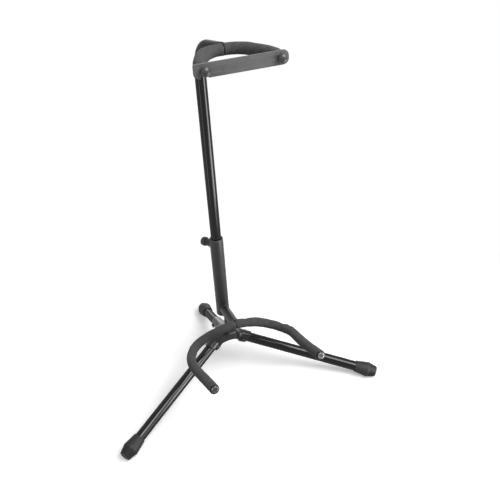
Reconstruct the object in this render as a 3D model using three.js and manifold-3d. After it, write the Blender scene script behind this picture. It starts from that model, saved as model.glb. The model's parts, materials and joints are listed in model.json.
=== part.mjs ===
// Folding guitar stand: three legs on a pressed-steel hub, a padded fork for the guitar's
// body, and a mast of adjustable height with a padded yoke and a rubber safety strap.
// Millimetres, +Z up. The front faces -Y, the mid-plane is X = 0 and the floor is Z = 0.
import * as THREE from 'three';
import { mergeVertices } from 'three/addons/utils/BufferGeometryUtils.js';
import Module from 'manifold-3d';

const wasm = await Module();
wasm.setup();

// Clearances
const seatGap = 0.3;
const runningGap = 0.3;
const foldingGap = 0.5;
const cutOverrun = 4;
const weldDistance = 0.01;
const blockSize = 800;

// Facets round a section
const tubeSides = 20;
const rodSides = 12;
const foamSides = 16;
const capSides = 24;
const boreSides = 12;

// Hub: a sheet pressed into three inverted-U arms round a raised crown
const hubHeight = 69.6;
const hubBack = -2;
const hubSheet = 2;
const armLength = 54;
const armSkirt = 7;
const armEndBevel = 8;
const webToRivet = 2;
const webLap = 1.2;
const webCrotch = 5;
const knuckleLap = 0.4;
const knuckleSteps = 5;
const crownForward = 24;
const crownRise = 20;
const crownTopRadius = 13;
const crownRadius = 46;
const crownDepth = 13;
const crownEdgeRise = 3;
const frontArchRadius = 20;
const frontArchRise = 3;

// Legs
const legTubeRadius = 9.5;
const legTubeWall = 1.2;
const frontLegLength = 310;
const rearLegLength = 160;
const frontLegSpread = 56.2;
const pivotReach = 40;
const legEndSteps = 6;
const rivetRadius = 3;
const rivetHeadRadius = 4.8;
const rivetHeadRise = 2.4;

// Foot caps: two cones that meet in a ridge
const capLength = 42;
const capLipRadius = 11;
const capRidgeRadius = 14.5;
const capRidgeFromEnd = 17;
const capEndRadius = 10.4;
const capEdgeRound = 1.4;
const capFloor = 6;
const footFlat = 0.6;

// Mast
const mastLean = 5;
const mastEndHeight = 117;
const lowerTubeRadius = 12.5;
const lowerTubeWall = 1.5;
const lowerTubeLength = 168;
const upperTubeRadius = 9.5;
const upperTubeWall = 1.2;
const upperTubeInsertion = 108;
const upperTubeStraight = 302;
const neckBendRadius = 60;
const neckBendAngle = 80;
const neckReach = 119;
const neckEndSetback = 4;

// Plastic bush at the lower tube's rim, and the plug that stops the upper tube against it
const bushDepth = 36;
const bushFlangeHeight = 2.5;
const bushChamfer = 1;
const plugFlangeHeight = 2.7;
const plugSpigotLength = 12;
const plugFlangeGap = 0.4;

// Thumbscrew through the lower tube's wall
const clampBelowRim = 12;
const clampTurnFromBack = 35;
const bossRadius = 7;
const bossLength = 8;
const boltRadius = 3;
const knobRadius = 8.5;
const knobLength = 13;
const knobNeckRadius = 5.5;
const knobNeckLength = 3;
const knobStandOff = 1;
const knobBoreDepth = 9;
const knobFlutes = 8;
const knobFluteRadius = 2;
const knobDome = 3.5;
const knobDomeShares = [[1, 0], [0.8, 0.75], [0.4, 1]];

// Stem from the lower tube to the fork, and the riser under it
const stemRadius = 9;
const stemWall = 1.5;
const stemRiseAngle = 10;
const stemEndSetback = 3;
const riserRadius = 7;
const riserWall = 1.5;

// Bent rods and their foam sleeves
const rodRadius = 6;
const rodWall = 1.2;
const foamRadius = 8.5;
const foamMiddleGap = 0.7;
const foamEndSetback = 2;

// Fork
const forkForward = 68;
const forkCentreHeight = 143.6;
const forkHalfWidth = 99.5;
const forkReach = 161;
const forkDrop = 36;
const forkStations = 32;
const rodPlugLength = 8;
const rodPlugRecess = 0.8;

// Yoke: each half is three bends and a straight, from the middle out
const yokeMiddleRadius = 38;
const yokeSideRadius = 120;
const yokeTipRadius = 60;
const yokeBends = [
  { radius: yokeMiddleRadius, angle: 49, steps: 4 },
  { radius: yokeSideRadius, angle: 17, steps: 2 },
  { radius: yokeTipRadius, angle: 24, steps: 2 },
];
const yokeEndStraight = 7;

// Strap, its studs and their domed caps
const strapHalfHeight = 9.75;
const strapThickness = 2.6;
const strapRightOverlap = 11;
const strapRightRound = 8;
const strapHookOverlap = 14.5;
const strapHookTopRound = 3;
const strapHookRound = 7;
const strapMouth = 5.5;
const studFlangeHeight = 1.5;
const studNeckRadius = 3;
const studInsertLength = 6;
const studTipLength = 5;
const strapCapRadius = 7;
const strapCapHeight = 10;
const strapCapRim = 1.6;
const strapCapNeckRadius = 4.8;
const strapCapNeckHeight = 2.2;

// Finishes
function finish(color, roughness, metalness) {
  return new THREE.MeshStandardMaterial({ color, roughness, metalness });
}

const glossBlack = finish(0x17171a, 0.25, 0.4);
const satinBlack = finish(0x2a2a2d, 0.5, 0.3);
const foamGrey = finish(0x3c3c3e, 0.95, 0);
const rubberBlack = finish(0x1d1d1f, 0.8, 0);
const strapGrey = finish(0x58585b, 0.75, 0);
const plasticBlack = finish(0x222224, 0.55, 0);
const bareSteel = finish(0x9a9a9c, 0.35, 0.9);

// Directions
const across = new THREE.Vector3(1, 0, 0);
const up = new THREE.Vector3(0, 0, 1);
const forward = new THREE.Vector3(0, -1, 0);
const radians = THREE.MathUtils.degToRad;
const opposite = (vector) => vector.clone().negate();

// A closed geometry as a solid that can be cut and joined, with its faces turned out
function solid(source) {
  const geometry = source.clone();
  geometry.deleteAttribute('normal');
  geometry.deleteAttribute('uv');
  const merged = mergeVertices(geometry, weldDistance);
  const vertProperties = new Float32Array(merged.attributes.position.array);
  const triVerts = new Uint32Array(merged.index.array);
  if (signedVolume(vertProperties, triVerts) < 0) {
    for (let i = 0; i < triVerts.length; i += 3) {
      [triVerts[i], triVerts[i + 1]] = [triVerts[i + 1], triVerts[i]];
    }
  }
  return new wasm.Manifold(new wasm.Mesh({ numProp: 3, vertProperties, triVerts }));
}

function signedVolume(positions, triangles) {
  const corners = [new THREE.Vector3(), new THREE.Vector3(), new THREE.Vector3()];
  let sum = 0;
  for (let i = 0; i < triangles.length; i += 3) {
    corners.forEach((corner, k) => corner.fromArray(positions, triangles[i + k] * 3));
    sum += corners[0].dot(corners[1].clone().cross(corners[2]));
  }
  return sum / 6;
}

function moved(body, matrix) {
  return body.transform(matrix.elements);
}

// A block wider than the stand that fills a frame below its plane Z = 0
function blockBelow(frame) {
  return moved(solid(bar(blockSize, -blockSize, 0, boreSides)), frame);
}

// A solid's surface, with points closer than the weld distance joined
function surfaceOf(body) {
  const result = body.getMesh();
  const raw = new THREE.BufferGeometry();
  raw.setAttribute('position', new THREE.BufferAttribute(result.vertProperties.slice(), 3));
  raw.setIndex(new THREE.BufferAttribute(result.triVerts.slice(), 1));
  const geometry = mergeVertices(raw, weldDistance);
  const corners = geometry.index.array;
  const kept = [];
  for (let i = 0; i < corners.length; i += 3) {
    const [a, b, c] = corners.subarray(i, i + 3);
    if (a !== b && b !== c && c !== a) {
      kept.push(a, b, c);
    }
  }
  geometry.setIndex(kept);
  geometry.computeVertexNormals();
  return geometry;
}

// A piece of the stand: a named mesh from a solid or a closed geometry
function piece(name, shape, material, group) {
  const body = shape.isBufferGeometry ? solid(shape) : shape;
  const geometry = surfaceOf(body);
  const mesh = new THREE.Mesh(geometry, material);
  mesh.name = name;
  group.add(mesh);
  return mesh;
}

// The matrix of a frame with its Z along a direction and its Y as near to a second one as it can be
function frameAt(origin, zDirection, yDirection) {
  const z = zDirection.clone().normalize();
  const x = yDirection.clone().cross(z).normalize();
  const y = z.clone().cross(x);
  return new THREE.Matrix4().makeBasis(x, y, z).setPosition(origin);
}

function framedGroup(matrix, parent) {
  const group = new THREE.Group();
  group.applyMatrix4(matrix);
  parent.add(group);
  return group;
}

// A revolved solid about Z, from a profile of [radius, height] points
function revolved(profile, sides) {
  const points = profile.map(([radius, height]) => new THREE.Vector2(radius, height));
  return new THREE.LatheGeometry(points, sides).rotateX(radians(90));
}

// A straight round bar along Z, from one height to another
function bar(radius, from, to, sides = tubeSides) {
  return revolved([[0, from], [radius, from], [radius, to], [0, to]], sides);
}

// A straight round tube along Z
function straightTube(radius, wall, from, to) {
  const bore = radius - wall;
  return revolved([[bore, from], [radius, from], [radius, to], [bore, to], [bore, from]], tubeSides);
}

// An outline extruded along Z, from one height to another
function prism(shape, from, to, curveSegments = capSides / 4) {
  const depth = to - from;
  const solidShape = new THREE.ExtrudeGeometry(shape, { depth, bevelEnabled: false, curveSegments });
  return solidShape.translate(0, 0, from);
}

function polygon(points) {
  return new THREE.Shape(points.map(([x, y]) => new THREE.Vector2(x, y)));
}

// A path through fixed stations, so that a swept section has one ring at each of them
class StationPath extends THREE.Curve {
  constructor(stations) {
    super();
    this.stations = stations;
  }

  getPoint(t, target = new THREE.Vector3()) {
    const last = this.stations.length - 1;
    const place = Math.min(t * last, last);
    const index = Math.min(Math.floor(place), last - 1);
    return target.lerpVectors(this.stations[index], this.stations[index + 1], place - index);
  }

  getPointAt(u, target) {
    return this.getPoint(u, target);
  }

  getTangentAt(u, target = new THREE.Vector3()) {
    const last = this.stations.length - 1;
    const index = Math.round(u * last);
    const before = this.stations[Math.max(index - 1, 0)];
    const here = this.stations[index];
    const after = this.stations[Math.min(index + 1, last)];
    const incoming = here.clone().sub(before).normalize();
    const outgoing = after.clone().sub(here).normalize();
    return target.addVectors(incoming, outgoing).normalize();
  }
}

// A tube or bar swept through stations. A bore of zero makes a bar.
function swept(stations, radius, bore, sides) {
  const section = new THREE.Shape().absarc(0, 0, radius, 0, radians(360));
  if (bore > 0) {
    section.holes.push(new THREE.Path().absarc(0, 0, bore, 0, radians(360)));
  }
  const extrudePath = new StationPath(stations);
  const steps = stations.length - 1;
  return new THREE.ExtrudeGeometry(section, { extrudePath, steps, curveSegments: sides / 2 });
}

// Points of a rod with bends in the plane Z = 0, starting along X and turning forward
function bentHalf(bends, endStraight) {
  const stations = [new THREE.Vector3()];
  let heading = 0;
  for (const { radius, angle, steps } of bends) {
    const start = stations.at(-1);
    const begin = heading;
    for (let step = 1; step <= steps; step += 1) {
      heading = begin + (radians(angle) * step) / steps;
      const x = radius * (Math.sin(heading) - Math.sin(begin));
      const y = radius * (Math.cos(heading) - Math.cos(begin));
      stations.push(new THREE.Vector3(start.x + x, start.y + y, 0));
    }
  }
  const end = stations.at(-1);
  const run = new THREE.Vector3(Math.cos(heading), -Math.sin(heading), 0);
  stations.push(end.clone().addScaledVector(run, endStraight));
  return stations;
}

// The left half mirrored from the right half, joined at the middle
function bothHalves(half) {
  const left = half.slice(1).reverse().map((point) => point.clone().multiply(new THREE.Vector3(-1, 1, 1)));
  return [...left, ...half];
}

// Stations with both ends moved out along the path, or in where the length is negative
function lengthened(stations, length) {
  const result = stations.map((point) => point.clone());
  const first = result[0].clone().sub(result[1]).normalize();
  const last = result.at(-1).clone().sub(result.at(-2)).normalize();
  result[0].addScaledVector(first, length);
  result.at(-1).addScaledVector(last, length);
  return result;
}

function rodClearance(half) {
  return solid(swept(lengthened(bothHalves(half), cutOverrun), rodRadius + seatGap, 0, rodSides));
}

// One of the two foam sleeves: bored for the rod, parted at the middle and set back from the rod's end
function foamSleeve(half, side) {
  const outside = solid(swept(lengthened(bothHalves(half), -foamEndSetback), foamRadius, 0, foamSides));
  const outward = across.clone().multiplyScalar(side);
  const parting = frameAt(outward.clone().multiplyScalar(foamMiddleGap), outward, up);
  return outside.subtract(rodClearance(half)).subtract(blockBelow(parting));
}

// Angles from nought to a right angle
function quarterTurns(steps) {
  return Array.from({ length: steps + 1 }, (_, step) => radians(90) * (step / steps));
}

// The hub's frame, and each leg's direction from it: the foot cap rests on its ridge or its end
const hubPlace = new THREE.Vector3(0, hubBack, hubHeight);

function legSlope(length) {
  const drop = hubHeight + footFlat;
  const touching = (run, radius) => Math.asin(drop / Math.hypot(run, radius)) - Math.atan2(radius, run);
  const onRidge = touching(length - capRidgeFromEnd, capRidgeRadius);
  return Math.min(onRidge, touching(length - capEdgeRound, capEndRadius));
}

function legFrame(length, azimuth) {
  const slope = legSlope(length);
  const level = new THREE.Vector3(Math.sin(azimuth), -Math.cos(azimuth), 0);
  const direction = level.multiplyScalar(Math.cos(slope)).addScaledVector(up, -Math.sin(slope));
  return frameAt(new THREE.Vector3(), direction, up);
}

const legs = [
  { side: 'left', length: frontLegLength, frame: legFrame(frontLegLength, radians(-frontLegSpread)) },
  { side: 'right', length: frontLegLength, frame: legFrame(frontLegLength, radians(frontLegSpread)) },
  { side: 'rear', length: rearLegLength, frame: legFrame(rearLegLength, radians(180)) },
];

const armInside = legTubeRadius + foldingGap;
const armOutside = armInside + hubSheet;
const rivetBore = rivetRadius + seatGap;

// One arm: a round-topped channel section, cut to a side view with a slanted end
function armSolid(halfWidth, skirt, from, to, bevel) {
  const section = new THREE.Shape();
  section.moveTo(-halfWidth, -skirt);
  section.lineTo(halfWidth, -skirt);
  section.lineTo(halfWidth, 0);
  section.absarc(0, 0, halfWidth, 0, radians(180));
  section.closePath();
  const side = polygon([[from, -skirt], [to - bevel, -skirt], [to, halfWidth], [from, halfWidth]]);
  const sideView = prism(side, -halfWidth, halfWidth).applyMatrix4(
    new THREE.Matrix4().makeBasis(up, new THREE.Vector3(0, 1, 0), opposite(across)),
  );
  return solid(prism(section, from, to)).intersect(solid(sideView));
}

// The web between the arms, seen from above, drawn in by an inset
function webOutline(inset) {
  const half = armOutside - webLap - inset;
  const reach = pivotReach - rivetHeadRadius - webToRivet - inset;
  const spread = radians(frontLegSpread);
  const along = [Math.sin(spread), -Math.cos(spread)];
  const front = [along[1], -along[0]];
  const at = (distance, offset) => [
    along[0] * distance + front[0] * offset,
    along[1] * distance + front[1] * offset,
  ];
  const [frontX, frontY] = at(reach, half);
  const [axisX, axisY] = at(reach, 0);
  const [rearX, rearY] = at(reach / 2, -half);
  const shape = new THREE.Shape();
  shape.moveTo(-frontX, frontY);
  shape.quadraticCurveTo(0, frontY + hubSheet, frontX, frontY);
  shape.lineTo(axisX, axisY);
  shape.lineTo(rearX, rearY);
  shape.quadraticCurveTo(half + webCrotch, webCrotch, half, reach / 2);
  shape.lineTo(-half, reach / 2);
  shape.quadraticCurveTo(-half - webCrotch, webCrotch, -rearX, rearY);
  shape.lineTo(-axisX, axisY);
  shape.closePath();
  return shape;
}

// The crown's domed outline, lowered by an inset
function crownSolid(inset) {
  const lift = (share) => crownEdgeRise + (crownRise - crownEdgeRise) * share - inset;
  const out = (share) => crownTopRadius + (crownRadius - inset - crownTopRadius) * share;
  const shoulderShares = [[1, 0], [0.45, 0.12], [0.15, 0.8], [0, 1]];
  const profile = [
    [0, -crownDepth - inset],
    [crownRadius - inset, -crownDepth - inset],
    ...shoulderShares.map(([outShare, liftShare]) => [out(outShare), lift(liftShare)]),
    [0, lift(1)],
  ];
  const halfFacet = radians(180) / capSides;
  return solid(revolved(profile, capSides).rotateZ(halfFacet).translate(0, -crownForward, 0));
}

const webSolid = (inset) => solid(prism(webOutline(inset), -crownDepth - inset, crownRise + inset))
  .intersect(crownSolid(inset));

// The plane of the front arms' lower edges, where the web ends
function webFloor() {
  const [left, right] = legs.map(({ frame }) => new THREE.Vector3().setFromMatrixColumn(frame, 2));
  const normal = right.clone().cross(left);
  const upward = normal.multiplyScalar(Math.sign(normal.z));
  return frameAt(new THREE.Vector3(0, 0, -armSkirt), upward, forward);
}

// The round knuckle where the three arms meet
function knuckleSolid(halfWidth, depth) {
  const radius = halfWidth - knuckleLap;
  const dome = quarterTurns(knuckleSteps).map((turn) => [radius * Math.cos(turn), radius * Math.sin(turn)]);
  dome.at(-1)[0] = 0;
  return solid(revolved([[0, -depth], [radius, -depth], ...dome], capSides));
}

// Hub spider
function addHub(base) {
  const group = framedGroup(new THREE.Matrix4().setPosition(hubPlace), base);
  let outside = webSolid(0).subtract(blockBelow(webFloor())).add(knuckleSolid(armOutside, armSkirt));
  let inside = webSolid(hubSheet).add(knuckleSolid(armInside, armSkirt + crownDepth));
  for (const { frame } of legs) {
    outside = outside.add(moved(armSolid(armOutside, armSkirt, 0, armLength, armEndBevel), frame));
    const depth = armSkirt + crownDepth;
    const channel = armSolid(armInside, depth, 0, armLength + cutOverrun, 0);
    inside = inside.add(moved(channel, frame));
  }
  let hub = outside.subtract(inside);
  for (const { frame } of legs) {
    const bore = solid(bar(rivetBore, -armOutside - cutOverrun, armOutside + cutOverrun, boreSides));
    hub = hub.subtract(moved(bore, frame.clone().multiply(rivetFrame())));
  }
  const archFrame = frameAt(
    new THREE.Vector3(0, hubSheet - crownForward, frontArchRise - frontArchRadius),
    forward,
    up,
  );
  const arch = solid(bar(frontArchRadius, 0, armLength));
  hub = hub.subtract(moved(arch, archFrame));
  piece('hub_spider', hub, satinBlack, group);
}

// A rivet lies across its leg at the pivot
function rivetFrame() {
  return frameAt(new THREE.Vector3(0, 0, pivotReach), across, up);
}

function addRivet(side, frame, base) {
  const seat = armOutside + seatGap;
  const top = seat + rivetHeadRise;
  const shoulder = rivetHeadRadius / 2;
  const profile = [
    [0, -top],
    [shoulder, -top],
    [rivetHeadRadius, -seat],
    [rivetRadius, -seat],
    [rivetRadius, seat],
    [rivetHeadRadius, seat],
    [shoulder, top],
    [0, top],
  ];
  const matrix = new THREE.Matrix4().setPosition(hubPlace).multiply(frame).multiply(rivetFrame());
  piece(`leg_rivet_${side}`, revolved(profile, boreSides), satinBlack, framedGroup(matrix, base));
}

// Leg: a tube with its inner end rounded about the rivet, so that it turns inside the hub's arm,
// and a rubber cap on the floor
function addLeg({ side, length, frame }, stand) {
  const matrix = new THREE.Matrix4().setPosition(hubPlace).multiply(frame);
  const group = framedGroup(matrix, stand);
  const tubeEnd = length - capFloor - seatGap;
  const endRadius = legTubeRadius + foldingGap / 2;
  const rounding = quarterTurns(legEndSteps).map((turn) => [
    endRadius * Math.sin(turn),
    pivotReach - endRadius * Math.cos(turn),
  ]);
  const beyond = tubeEnd + cutOverrun;
  const rounded = solid(revolved([...rounding, [endRadius, beyond], [0, beyond]], tubeSides));
  const tube = straightTube(legTubeRadius, legTubeWall, pivotReach - legTubeRadius, tubeEnd);
  const bore = solid(bar(rivetBore, -legTubeRadius - cutOverrun, legTubeRadius + cutOverrun, boreSides));
  const legTube = solid(tube).intersect(rounded).subtract(moved(bore, rivetFrame()));
  piece(`leg_tube_${side}`, legTube, glossBlack, group);

  const capStart = length - capLength;
  const capBore = legTubeRadius + seatGap;
  const profile = [
    [0, length - capFloor],
    [capBore, length - capFloor],
    [capBore, capStart],
    [capLipRadius, capStart],
    [capRidgeRadius, length - capRidgeFromEnd],
    [capEndRadius, length - capEdgeRound],
    [capEndRadius - capEdgeRound, length],
    [0, length],
  ];
  const cap = solid(revolved(profile, capSides)).subtract(blockBelow(matrix.clone().invert()));
  piece(`foot_${side}`, cap, rubberBlack, group);
}

// The mast's frame: its Z runs up the leaning tubes from the lower tube's open end
const mastPlace = new THREE.Vector3(0, 0, mastEndHeight);
const mastDirection = new THREE.Vector3(0, Math.sin(radians(mastLean)), Math.cos(radians(mastLean)));
const mastFrame = frameAt(mastPlace, mastDirection, opposite(forward));
const lowerTubeBore = lowerTubeRadius - lowerTubeWall;
const upperTubeFoot = lowerTubeLength - upperTubeInsertion;
const clampHeight = lowerTubeLength - clampBelowRim;
const boltBore = boltRadius + seatGap;

// The thumbscrew's frame, in the mast's: its Z points out from the mast's axis
function clampFrame() {
  const turn = radians(clampTurnFromBack);
  const outward = new THREE.Vector3(-Math.sin(turn), Math.cos(turn), 0);
  return frameAt(new THREE.Vector3(0, 0, clampHeight), outward, up);
}

const clampBore = () => moved(solid(bar(boltBore, 0, lowerTubeRadius + cutOverrun, boreSides)), clampFrame());

function addLowerTube(base) {
  const group = framedGroup(mastFrame, base);
  const tube = solid(straightTube(lowerTubeRadius, lowerTubeWall, 0, lowerTubeLength));
  piece('lower_tube', tube.subtract(clampBore()), satinBlack, group);

  const inner = upperTubeRadius + runningGap;
  const outer = lowerTubeBore - seatGap;
  const seat = lowerTubeLength + seatGap;
  const top = seat + bushFlangeHeight;
  const profile = [
    [inner, lowerTubeLength - bushDepth],
    [outer, lowerTubeLength - bushDepth],
    [outer, seat],
    [lowerTubeRadius, seat],
    [lowerTubeRadius, top - bushChamfer],
    [lowerTubeRadius - bushChamfer, top],
    [inner, top],
    [inner, lowerTubeLength - bushDepth],
  ];
  piece('mast_bushing', solid(revolved(profile, tubeSides)).subtract(clampBore()), plasticBlack, group);

  const bossTube = straightTube(bossRadius, bossRadius - boltBore, 0, lowerTubeRadius + bossLength);
  const tubeClearance = solid(bar(lowerTubeRadius + seatGap, 0, lowerTubeLength));
  const boss = moved(solid(bossTube), clampFrame()).subtract(tubeClearance);
  piece('clamp_boss', boss, satinBlack, group);
}

function addClamp(stand) {
  const group = framedGroup(mastFrame.clone().multiply(clampFrame()), stand);
  const knobStart = lowerTubeRadius + bossLength + knobStandOff;
  const knobTop = knobStart + knobLength;
  const boltTip = upperTubeRadius + seatGap;
  const boltEnd = knobStart + knobBoreDepth - seatGap;
  piece('clamp_bolt', bar(boltRadius, boltTip, boltEnd, boreSides), bareSteel, group);

  const profile = [
    [boltBore, knobStart],
    [knobNeckRadius, knobStart],
    [knobNeckRadius, knobStart + knobNeckLength],
    [knobRadius, knobStart + knobNeckLength],
    ...knobDomeShares.map(([out, rise]) => [knobRadius * out, knobTop - knobDome + knobDome * rise]),
    [0, knobTop],
    [0, knobStart + knobBoreDepth],
    [boltBore, knobStart + knobBoreDepth],
    [boltBore, knobStart],
  ];
  let knob = solid(revolved(profile, capSides));
  for (let index = 0; index < knobFlutes; index += 1) {
    const turn = (radians(360) * index) / knobFlutes;
    const place = new THREE.Vector3(Math.cos(turn), Math.sin(turn), 0);
    place.multiplyScalar(knobRadius + knobFluteRadius / 2);
    const fluteStart = knobStart + knobNeckLength - seatGap;
    const flute = bar(knobFluteRadius, fluteStart, knobTop + cutOverrun, boreSides / 2);
    knob = knob.subtract(solid(flute.translate(place.x, place.y, 0)));
  }
  piece('clamp_knob', knob, plasticBlack, group);
}

// Fork: its half rod goes out and down from the middle, then forward and up
const forkPlace = new THREE.Vector3(0, -forkForward, forkCentreHeight);
const forkShares = [
  [0, 0, 0],
  [0.27, -0.03, -0.25],
  [0.52, -0.085, -0.72],
  [0.74, -0.07, -1],
  [0.905, 0.06, -0.92],
  [0.99, 0.23, -0.64],
  [1, 0.4, -0.36],
  [0.975, 0.71, 0.28],
  [0.955, 1, 0.92],
];

function forkHalf() {
  const right = forkShares.map(([out, ahead, rise]) => (
    new THREE.Vector3(forkHalfWidth * out, -forkReach * ahead, forkDrop * rise)
  ));
  const curve = new THREE.CatmullRomCurve3(bothHalves(right), false, 'centripetal');
  const stations = curve.getSpacedPoints(forkStations).slice(forkStations / 2);
  stations[0].set(0, 0, 0);
  return stations;
}

// The stem, bored along its slope and seated on the lower tube and the fork's rod
const stemRise = radians(stemRiseAngle);
const stemDirection = new THREE.Vector3(0, -Math.cos(stemRise), Math.sin(stemRise));
const stemFrame = frameAt(forkPlace, stemDirection, up);
const stemBack = -(forkForward + lowerTubeRadius) / Math.cos(stemRise);

function addStem(base, half) {
  const lowerTubeClearance = moved(
    solid(bar(lowerTubeRadius + seatGap, -lowerTubeLength, lowerTubeLength)),
    mastFrame,
  );
  const forkMatrix = new THREE.Matrix4().setPosition(forkPlace);
  const tube = moved(solid(straightTube(stemRadius, stemWall, stemBack, -stemEndSetback)), stemFrame);
  const stem = tube
    .subtract(lowerTubeClearance)
    .subtract(blockBelow(frameAt(mastPlace, forward, up)))
    .subtract(moved(rodClearance(half), forkMatrix));
  piece('stem_tube', stem, satinBlack, base);

  const riserPlace = new THREE.Vector3(0, hubBack - crownForward, hubHeight + crownRise + seatGap);
  const riser = straightTube(riserRadius, riserWall, riserPlace.z, forkCentreHeight)
    .translate(0, riserPlace.y, 0);
  const stemClearance = moved(solid(bar(stemRadius + seatGap, stemBack, cutOverrun)), stemFrame);
  const stemTop = frameAt(forkPlace, across.clone().cross(stemDirection), forward);
  piece('hub_riser', solid(riser).subtract(stemClearance).subtract(blockBelow(stemTop)), satinBlack, base);
}

function addFork(base, half) {
  const group = framedGroup(new THREE.Matrix4().setPosition(forkPlace), base);
  piece('fork_rod', swept(bothHalves(half), rodRadius, rodRadius - rodWall, rodSides), satinBlack, group);
  const toFork = new THREE.Matrix4().setPosition(forkPlace).invert();
  const stemEnd = seatGap - stemEndSetback;
  const stemNotch = moved(moved(solid(bar(stemRadius + seatGap, stemBack, stemEnd)), stemFrame), toFork);
  for (const [name, side] of [['left', -1], ['right', 1]]) {
    const sleeve = foamSleeve(half, side).subtract(stemNotch);
    piece(`fork_foam_${name}`, sleeve, foamGrey, group);
    addRodPlug(`fork_plug_${name}`, half, side, group);
  }
}

// A plug pressed into a rod's open end, a little below the rim
function addRodPlug(name, half, side, group) {
  const mirror = new THREE.Vector3(side, 1, 1);
  const end = half.at(-1).clone().multiply(mirror);
  const run = half.at(-1).clone().sub(half.at(-2)).multiply(mirror).normalize();
  const radius = rodRadius - rodWall - seatGap;
  const plug = bar(radius, -rodPlugRecess - rodPlugLength, -rodPlugRecess, rodSides);
  piece(name, plug, plasticBlack, framedGroup(frameAt(end, run, up), group));
}

// Upper tube: straight, one bend forward, and a straight to the yoke's rod
const neckTurn = radians(neckBendAngle);
const neckBendStart = lowerTubeLength + upperTubeStraight;
const neckRun = (neckReach - neckBendRadius * (1 - Math.cos(neckTurn))) / Math.sin(neckTurn);
const yokeHeight = neckBendStart + neckBendRadius * Math.sin(neckTurn) + neckRun * Math.cos(neckTurn);
const yokePlace = new THREE.Vector3(0, -neckReach, yokeHeight);
const neckBendSteps = 8;

function upperTubeStations() {
  const stations = [new THREE.Vector3(0, 0, upperTubeFoot)];
  for (let step = 0; step <= neckBendSteps; step += 1) {
    const turn = (neckTurn * step) / neckBendSteps;
    const ahead = neckBendRadius * (1 - Math.cos(turn));
    const height = neckBendStart + neckBendRadius * Math.sin(turn);
    stations.push(new THREE.Vector3(0, -ahead, height));
  }
  const run = new THREE.Vector3(0, -Math.sin(neckTurn), Math.cos(neckTurn));
  stations.push(yokePlace.clone().addScaledVector(run, -neckEndSetback));
  return stations;
}

function addMast(stand, half) {
  const group = framedGroup(mastFrame, stand);
  const yokeMatrix = new THREE.Matrix4().setPosition(yokePlace);
  const stations = upperTubeStations();
  const tube = solid(swept(stations, upperTubeRadius, upperTubeRadius - upperTubeWall, tubeSides));
  piece('upper_tube', tube.subtract(moved(rodClearance(half), yokeMatrix)), glossBlack, group);

  const spigot = upperTubeRadius - upperTubeWall - seatGap;
  const flange = lowerTubeBore - plugFlangeGap;
  const flangeTop = upperTubeFoot - seatGap;
  const profile = [
    [0, flangeTop - plugFlangeHeight],
    [flange, flangeTop - plugFlangeHeight],
    [flange, flangeTop],
    [spigot, flangeTop],
    [spigot, upperTubeFoot + plugSpigotLength],
    [0, upperTubeFoot + plugSpigotLength],
  ];
  piece('mast_end_plug', revolved(profile, tubeSides), plasticBlack, group);

  const yoke = framedGroup(yokeMatrix, group);
  piece('yoke_rod', swept(bothHalves(half), rodRadius, rodRadius - rodWall, rodSides), satinBlack, yoke);
  const neckNotch = moved(
    solid(swept(lengthened(stations, seatGap), upperTubeRadius + seatGap, 0, tubeSides)),
    yokeMatrix.clone().invert(),
  );
  for (const [name, side] of [['left', -1], ['right', 1]]) {
    const sleeve = foamSleeve(half, side).subtract(neckNotch);
    piece(`yoke_foam_${name}`, sleeve, foamGrey, yoke);
    addStud(name, half.at(-1).clone().multiply(new THREE.Vector3(side, 1, 1)), yoke);
  }
}

// Stud: an insert in the rod's end, a flange, and a neck for the strap under a domed cap
const strapBack = seatGap + studFlangeHeight + seatGap;
const strapFront = strapBack + strapThickness;
const strapCapBack = strapFront + seatGap;

function addStud(name, end, yoke) {
  const group = framedGroup(frameAt(end, forward, up), yoke);
  const insert = rodRadius - rodWall - seatGap;
  const tip = strapCapBack + studTipLength;
  const studProfile = [
    [0, -studInsertLength],
    [insert, -studInsertLength],
    [insert, seatGap],
    [rodRadius, seatGap],
    [rodRadius, strapBack - seatGap],
    [studNeckRadius, strapBack - seatGap],
    [studNeckRadius, tip],
    [0, tip],
  ];
  piece(`strap_stud_${name}`, revolved(studProfile, boreSides), plasticBlack, group);

  const bore = studNeckRadius + seatGap;
  const rim = strapCapBack + strapCapNeckHeight;
  const dome = rim + strapCapRim;
  const domeHeight = strapCapHeight - strapCapNeckHeight - strapCapRim;
  const domeShares = [[1, 0], [0.92, 0.42], [0.7, 0.77], [0.4, 0.95], [0, 1]];
  const capProfile = [
    [bore, strapCapBack],
    [strapCapNeckRadius, strapCapBack],
    [strapCapNeckRadius, rim],
    [strapCapRadius - strapCapRim / 2, rim],
    [strapCapRadius, rim + strapCapRim / 2],
    ...domeShares.map(([out, rise]) => [strapCapRadius * out, dome + domeHeight * rise]),
    [0, tip + seatGap],
    [bore, tip + seatGap],
    [bore, strapCapBack],
  ];
  piece(`strap_cap_${name}`, revolved(capProfile, capSides), plasticBlack, group);
}

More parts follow.
